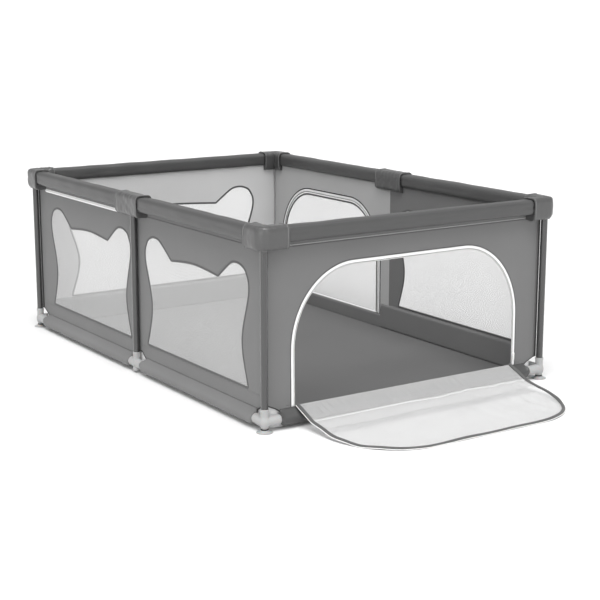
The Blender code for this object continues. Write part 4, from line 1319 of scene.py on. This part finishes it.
# Near-black strips along each panel's cut edge over a foot: painted shade on the edge.
NOTCH_SHADE_EDGE = flat_oval(0.0036, 0.0046)
for side in PLAN:
    for label, _, start, end in panels_of(side):
        for (edge, post, notch, _), way, name in ((start, 1, "start"), (end, -1, "end")):
            line = resample(notch_line(edge, post, notch, way)[:-1], NOTCH_COUNT)
            sewn(f"notch_shade_edge_{label}_{name}", partial(on_wall, side), line, NOTCH_SHADE_EDGE, dark_seam_and_shade_cord)

BASE_IN = 0.0034
BASE_CORNER = 0.030
BASE_LOW = 0.0026
BASE_THICK = 0.0010
BASE_LEVELS = 9
BASE_UNDER_DOOR = SILL_Z - 0.0052
BESIDE_DOOR = 0.024


def rounded_loop(half_x, half_y, corner, step):
    """A rectangle with quarter-circle corners, as points about a step apart."""
    turn = np.linspace(0, math.pi / 2, 9)
    middle = np.array((half_x - corner, half_y - corner))
    arc = middle + corner * np.stack([np.cos(turn), np.sin(turn)], -1)
    flip = arc[::-1]
    loop = np.vstack([arc, flip * (-1, 1), -arc, flip * (1, -1)])
    loop = np.vstack([loop, loop[:1]])
    return resample(loop, int(np.linalg.norm(np.diff(loop, axis=0), axis=1).sum() / step))


base_line = rounded_loop(CORNER_X - WALL_IN - BASE_IN, CORNER_Y - WALL_IN - BASE_IN, BASE_CORNER, 0.008)
base_x, base_y = base_line.T
under_front = fade(DOOR_HIGH + BESIDE_DOOR - np.abs(base_x), 0.006) * (base_y < -CORNER_Y + 0.04)
beside_door = (base_y > SIDE_LOW - BESIDE_DOOR) * (base_y < SIDE_HIGH + BESIDE_DOOR)
under_side = beside_door * (base_x > CORNER_X - 0.04)
base_top = FELL_SEAM_Z - (FELL_SEAM_Z - BASE_UNDER_DOOR) * np.maximum(under_front, under_side)
level = np.linspace(0, 1, BASE_LEVELS)[:, None]
base_z = BASE_LOW + (base_top[None, :] - BASE_LOW) * level
base_flat = np.broadcast_to(base_line, (BASE_LEVELS, *base_line.shape))
base_points = np.concatenate([base_flat, base_z[..., None]], -1)
around = np.concatenate([[0], np.cumsum(np.linalg.norm(np.diff(base_line, axis=0), axis=1))])
base_uv = np.stack(np.broadcast_arrays(around[None, :], base_z), -1)
base = put_mesh("base_cloth_band", base_points, grid_faces(*base_z.shape), base_uv, base_cloth, "frame",
                "wall_fabric")
face_outwards(base)
# Its inside takes the outer grey, without the painted light of the walls' paler insides, so the inside is
# darker towards the bottom.
base.data.materials.append(wall_cloth)
thicken(base, BASE_THICK, rim=1)


# ---------------------------------------------------------------- floor mat
# A thin foam mat in a woven cover lies between the walls, its corners cut off to clear the
# feet.  The cover is sewn through a welt round its edge, so the mat thins out there.

mat_cloth = woven("woven_mat_cover", "#555555", "#5d5d5d", 0.0016, 0.00025, 0.3,
                  roughness=0.85, sheen_weight=0.1)
mat_high = np.array(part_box("floor_mat")[1])
MAT_CUT = 0.045
MAT_EASE = 0.0022
half_x, half_y = mat_high[0] - MAT_EASE, mat_high[1] - MAT_EASE
corners = np.array([(half_x, half_y - MAT_CUT), (half_x - MAT_CUT, half_y)])
mat_edge = np.vstack([corners, corners[::-1] * (-1, 1), corners * (-1, -1), corners[::-1] * (1, -1)])
MAT_STEPS = 240
MAT_WELT = 0.42
mat_edge = resample(np.vstack([mat_edge, mat_edge[:1]]), MAT_STEPS)
depth = np.array([0.0, 0.001, 0.003, 0.006, 0.012, 0.022, 0.04, 0.07,
                  0.11, 0.16, 0.22, 0.29, 0.37, 0.45, 0.52, 0.58])
share = 1 - depth / depth[-1]
rise = np.clip(depth / 0.022, 0, 1)
height = mat_high[2] - 0.0004
upper = height * (MAT_WELT + (1 - MAT_WELT) * np.sqrt(1 - (1 - rise) ** 2))
fall = np.clip(depth / 0.008, 0, 1)
lower = height * MAT_WELT * (1 - np.sqrt(1 - (1 - fall) ** 2)) + 0.0002
flat = mat_edge[None] * share[:, None, None]
inwards = fade(depth, 0.08)[:, None]
top_z = upper[:, None] + (0.0006 * ripples(flat[..., 0], flat[..., 1], 0.35, 5) - 0.0008) * inwards
top_side = np.concatenate([flat, top_z[..., None]], -1)
under_side = np.concatenate([flat, np.broadcast_to(lower[:, None], flat.shape[:2])[..., None]], -1)
mat_points = np.concatenate([under_side[::-1], top_side])
mat_uv = np.concatenate([flat[::-1], flat])
mat = put_mesh("padded_floor_mat", mat_points, grid_faces(*mat_points.shape[:2]), mat_uv, mat_cloth,
               "frame", "mat_fabric")
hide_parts("floor_mat")
welt_line = np.concatenate([mat_edge[:-1] * 0.9975, np.full((MAT_STEPS - 1, 1), height * MAT_WELT)], -1)
put_mesh("mat_welt", *cord_round(welt_line, 0.0016), binding_tape, "frame", "mat_fabric")


# ---------------------------------------------------------------- zips round the doorways
# Each doorway is edged by one half of a white coil zip: a woven tape sewn to the wall, and a
# row of moulded coils along its inner edge.  A short zip also closes the cover under the left
# back rail.

# Zip tape: bright white polyester twill, fine diagonal ribs 1 mm apart, drawn at 1.6 mm.
TWILL_PITCH = 0.0016
zip_tape = ribbed("white_zip_tape", "#e6e6e6", "#f6f6f6", TWILL_PITCH, "DIAGONAL", depth=0.0002,
                  roughness=0.65, sheen_weight=0.15)

# Coil and slider: injection-moulded acetal, white, smooth and slightly glossy.
acetal = mottled("white_acetal", "#e4e4e2", "#efefed", 90.0, roughness=0.3, ior=1.48,
                 subsurface_weight=0.05, subsurface_scale=0.002)

TAPE_WIDTH = 0.0108
TAPE_IN = 0.0038
COIL_PITCH = 0.0030
COIL_RADIUS = 0.0015


def coil_line(line, step=COIL_PITCH / 4):
    """The coils as one cord whose radius swells once in each pitch, with its sizes."""
    length = np.linalg.norm(np.diff(line, axis=0), axis=1).sum()
    dense = resample(line, int(length / step))
    phase = np.arange(len(dense)) * (2 * math.pi / 4)
    return dense, COIL_RADIUS * (0.82 + 0.30 * (np.cos(phase) > 0.5))


def coil(place_of, line, shift, lift):
    """A row of coils beside a flat line, lifted off the cloth."""
    line, size = coil_line(line)
    right = beside(line, False)
    flat = line + right * shift
    centre = place_of(flat[:, 0], flat[:, 1], np.full(len(flat), lift))
    return cord_round(centre, size, 6, closed=False)


def sill_to_sill(lines):
    """The part of a doorway's edge that a zip follows: up the right, over the top and down."""
    return resample(np.vstack([lines[1], lines[2][1:], lines[3][1:]]), 420)


def doorway_zip(label, side, lines, edge_width, edge_shade_material):
    """The zip half round a doorway: coil, tape, a dark strip of painted shade between them, and
    a dark strip of painted shade along the cloth outside the tape.
    """
    line = sill_to_sill(lines)
    place_of = partial(on_wall, side)
    tape = flat_oval(TAPE_WIDTH, 0.0042, TAPE_IN + TAPE_WIDTH / 2, power=5.0)
    # Both dark strips are painted shade: one between coil and tape, one along the cloth outside it.
    edge = flat_oval(edge_width, 0.0056, TAPE_IN + TAPE_WIDTH + edge_width / 2, power=2.4)
    inner_shade_strip = flat_oval(0.0012, 0.0044, 0.0036, power=2.4)
    sewn(f"zip_tape_{label}", place_of, line, tape, zip_tape, slot="zip_plastic")
    sewn(f"zip_edge_{label}", place_of, line, edge, edge_shade_material)
    sewn(f"zip_inner_shade_strip_{label}", place_of, line, inner_shade_strip, binding_tape)
    put_mesh(f"zip_coil_{label}", *coil(place_of, line, 0.0015, 0.0002), acetal, "frame", "zip_plastic")


doorway_zip("front", "front", front_doorway, 0.0030, binding_tape)
doorway_zip("side", "right", side_doorway, 0.0052, dark_seam_and_shade_cord)

STRIP_Z = RAIL_LOW - 0.0245
STRIP_UNDER_CAP = 0.002
STRIP_EDGE = 0.0078
strip_along = np.linspace(CAP_REACH - CORNER_Y - STRIP_UNDER_CAP, STRIP_UNDER_CAP - MIDDLE_CAP_REACH, 120)
strip = np.stack([strip_along, np.full(120, STRIP_Z)], -1)
on_left = partial(on_wall, "left")
sewn("cover_zip_tape", on_left, strip, flat_oval(0.0135, 0.0036, 0.0, 0.0008, power=5.0), zip_tape,
     slot="zip_plastic")
put_mesh("cover_zip_coil", *coil(on_left, strip, 0.0, 0.0030), acetal, "frame", "zip_plastic")
sewn("cover_zip_edge", on_left, strip - (0, STRIP_EDGE), flat_oval(0.0020, 0.0044), binding_tape)


# ---------------------------------------------------------------- open front door
# The door is the piece of net that fills the doorway, still sewn to the sill.  It falls out
# over the hem as a short apron, creases where it meets the ground's slope, and lies in a soft
# curve down to the floor.  A padded dark binding runs round it, and its half of the zip.

APRON = 0.098
APRON_SLOPE = 22.0
FLAP_SLOPE = 11.3
FLAP_SETTLE = 0.300
DOOR_DEPTH = DOOR_TOP - 0.0008 - SILL_Z
reach = np.linspace(0, DOOR_DEPTH + 0.03, 600)
slope = np.where(reach < APRON, APRON_SLOPE,
                 FLAP_SLOPE * np.clip(1 - (reach - APRON) / FLAP_SETTLE, 0, 1))
blur = np.exp(-0.5 * (np.arange(-12, 13) / 5) ** 2)
slope = np.radians(np.convolve(np.pad(slope, 12, mode="edge"), blur / blur.sum(), "valid"))
pace = reach[1] - reach[0]
fall = np.concatenate([[0], np.cumsum(np.sin(slope[:-1]) * pace)])
out_by = np.concatenate([[0], np.cumsum(np.cos(slope[:-1]) * pace)])
FLAP_LIFT = 0.0022
FLOOR_CLEAR = 0.0018
FACING_END = APRON + 0.066


def door_waves(x, d):
    """The height of soft wrinkles in the open door, most of them towards its right end."""
    right = fade(x + 0.1, 0.5) * fade(DOOR_DEPTH - d, 0.15) * fade(d - 0.02, 0.08)
    broad = 0.0026 * ripples(x * 0.8, d * 1.6, 0.22, 31) * fade(d - 0.03, 0.1)
    folds = 0.0032 * right * ripples(x * 1.4, d * 0.7, 0.10, 33)
    streaks = 0.0014 * ripples(x * 1.5, d * 0.4, 0.04, 35) * fade(APRON - d, 0.03) * fade(d, 0.02)
    return broad + folds + streaks


def on_door(x, d, lift=0.0):
    """A place on the open door: x across it, d from the sill along the cloth, lift above it."""
    d = np.asarray(d, float)
    angle = np.interp(d, reach, slope)
    rest = np.interp(d, reach, SILL_Z - fall) + FLAP_LIFT
    wave = door_waves(x, d) * fade(0.02 + d, 0.05)
    wave = np.maximum(wave, 0.0015 - rest)
    y = -(WALL_PLANE["front"] - MESH_HALF) - np.interp(d, reach, out_by) - np.sin(angle) * lift
    z = np.maximum(rest + wave + np.cos(angle) * lift, FLOOR_CLEAR)
    return np.stack(np.broadcast_arrays(x, y, z), -1)


DOOR_HALF = (DOOR_HIGH - DOOR_LOW) / 2 - 0.0008


def half_width_at(d):
    """Half the door's width at d from the sill: straight sides, then an elliptical corner."""
    into = np.clip((d - (DOOR_DEPTH - DOOR_ROUND[1])) / DOOR_ROUND[1], 0, 1)
    return DOOR_HALF - DOOR_ROUND[0] * (1 - np.sqrt(1 - into ** 2))


def across_crease(piece):
    """Take a piece off its body, so it stays where it is, and bake its place into its mesh."""
    piece.parent = None
    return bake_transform(piece)


across = np.linspace(-1, 1, 150)[None, :]
down = np.concatenate([np.linspace(0.003, DOOR_DEPTH - 0.06, 62),
                       DOOR_DEPTH - 0.06 * np.cos(np.linspace(0, math.pi / 2, 22)[1:])])[:, None]
x, d = np.broadcast_arrays(across * (half_width_at(down) - 0.002), down)
door_net = put_mesh("front_door_net", on_door(x, d), grid_faces(*x.shape), np.stack([x, d], -1),
                    white_net, "front_apron", "white_mesh")
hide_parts("front_door_apron", "front_door_flap")

turn = np.linspace(0, math.pi / 2, 40)
corner_middle = np.array((DOOR_HALF, DOOR_DEPTH)) - DOOR_ROUND
corner = corner_middle + np.array(DOOR_ROUND) * np.stack([np.cos(turn), np.sin(turn)], -1)
foot = np.array([(DOOR_HALF, 0.003)])
door_line = resample(np.vstack([foot, corner, corner[::-1] * (-1, 1), foot * (-1, 1)]), 420)
door_binding = sewn("front_door_binding", on_door, door_line, flat_oval(0.0120, 0.0086, -0.0082, 0.0014),
                    binding_tape, "front_apron", "white_mesh")
door_coil = put_mesh("front_door_coil", *coil(on_door, door_line, -0.0014, -0.0006), acetal,
                     "front_apron", "zip_plastic")
crease_line = np.stack([np.linspace(0.008 - DOOR_HALF, DOOR_HALF - 0.008, 120), np.full(120, APRON)], -1)
crease_seam = sewn("front_crease_seam", on_door, crease_line, flat_oval(0.0056, 0.0022, 0, 0.0008),
                   pale_seam_and_lit_lining, "front_apron", "white_mesh")

# A strip of doubled net beyond the crease.  Its threads lie between those of the door.
FACING_IN = 0.008
facing_rows = np.linspace(APRON - 0.004, FACING_END, 12)[:, None]
x, d = np.broadcast_arrays(across * (half_width_at(facing_rows) - FACING_IN), facing_rows)
door_facing = put_mesh("front_door_facing", on_door(x, d, 0.0009), grid_faces(*x.shape),
                       np.stack([x + 0.0011, d + 0.0007], -1), white_net, "front_apron", "white_mesh")
for piece in (door_net, door_binding, door_coil, crease_seam, door_facing):
    across_crease(piece)


# ---------------------------------------------------------------- closed side door
# The second door, zipped shut in the right wall: the same net, binding and zip half, lying in
# the plane of the wall and hinged along its sill.

SIDE_IN = 0.0030
side_lines = arch(SIDE_LOW + SIDE_IN, SIDE_HIGH - SIDE_IN, SILL_Z + 0.002, SIDE_TOP - SIDE_IN, 0.204, 0.234)
side_net = put_mesh("side_door_net", *fan("right", side_lines, 30), white_net, "side_flap", "white_mesh")
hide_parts("side_door_flap")
side_line = sill_to_sill(side_lines)
on_right = partial(on_wall, "right")
side_binding = sewn("side_door_binding", on_right, side_line, flat_oval(0.0080, 0.0046, -0.0046),
                    binding_tape, "side_flap", "white_mesh")
side_coil = put_mesh("side_door_coil", *coil(on_right, side_line, 0.0, 0.0), acetal, "side_flap",
                     "zip_plastic")


# ---------------------------------------------------------------- zip sliders
# A moulded slider rides on each doorway's zip, wider at its top, with a pull tab that hangs from
# a bridge across its back.

def lozenge(low, high, power, taper, rows=14):
    """A closed rounded block: soft square sections from low to high, eased at both ends.

    The section's size follows the square root of 1 - t^power, and taper narrows its foot.
    """
    t = np.linspace(-1, 1, rows)
    size = np.sqrt(np.clip(1 - np.abs(t) ** power, 0, 1))
    low, high = np.array(low), np.array(high)
    middle, half = (low + high) / 2, (high - low) / 2
    section = soft_square(1.0, 1.0, 4.0, 28)
    width = half[0] * size * (1 + taper * (t - 1) / 2)
    a = middle[0] + width[:, None] * section[None, :, 0]
    out = middle[1] + half[1] * size[:, None] * section[None, :, 1]
    z = np.broadcast_to((middle[2] + half[2] * t)[:, None], a.shape)
    return a, out, z


SLIDER_TALL = 0.0180
BRIDGE_HALF = 0.0018
TAB_HALF = 0.0035


def zip_slider(name, node, side, body):
    """A slider that fills its node's box: a body, a bridge and a pull tab in one piece."""
    low, high = (np.array(corner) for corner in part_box(node))
    turn = math.radians(WALL_TURN[side])
    base = WALL_PLANE[side] - MESH_HALF
    first, last = sorted(x * math.cos(turn) + y * math.sin(turn) for x, y, _ in (low, high))
    near, far = sorted(x * math.sin(turn) - y * math.cos(turn) - base for x, y, _ in (low, high))
    middle = (first + last) / 2
    foot, top = low[2], high[2]
    body_low = top - SLIDER_TALL
    blocks = [((first, near, body_low), (last, near + 0.0048, top), 8, 0.30),
              ((middle - BRIDGE_HALF, near + 0.0030, body_low + 0.004),
               (middle + BRIDGE_HALF, far, top - 0.002), 4, 0),
              ((middle - TAB_HALF, far - 0.0020, foot),
               (middle + TAB_HALF, far - 0.0001, top - 0.006), 10, 0.25)]
    parts = []
    for block_low, block_high, power, taper in blocks:
        a, out, z = lozenge(block_low, block_high, power, taper)
        x = a * math.cos(turn) + (base + out) * math.sin(turn)
        y = a * math.sin(turn) - (base + out) * math.cos(turn)
        points = np.stack([x, y, z], -1)
        parts.append((points, grid_faces(*a.shape), None))
    item = loose_mesh(name, parts)
    item.data.materials.append(acetal)
    item.data.shade_smooth()
    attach(item, body)
    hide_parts(node)


zip_slider("front_slider_pull", "front_zip_slider", "front", "front_slider")
zip_slider("side_slider_pull", "side_zip_slider", "right", "side_slider")


low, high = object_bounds()
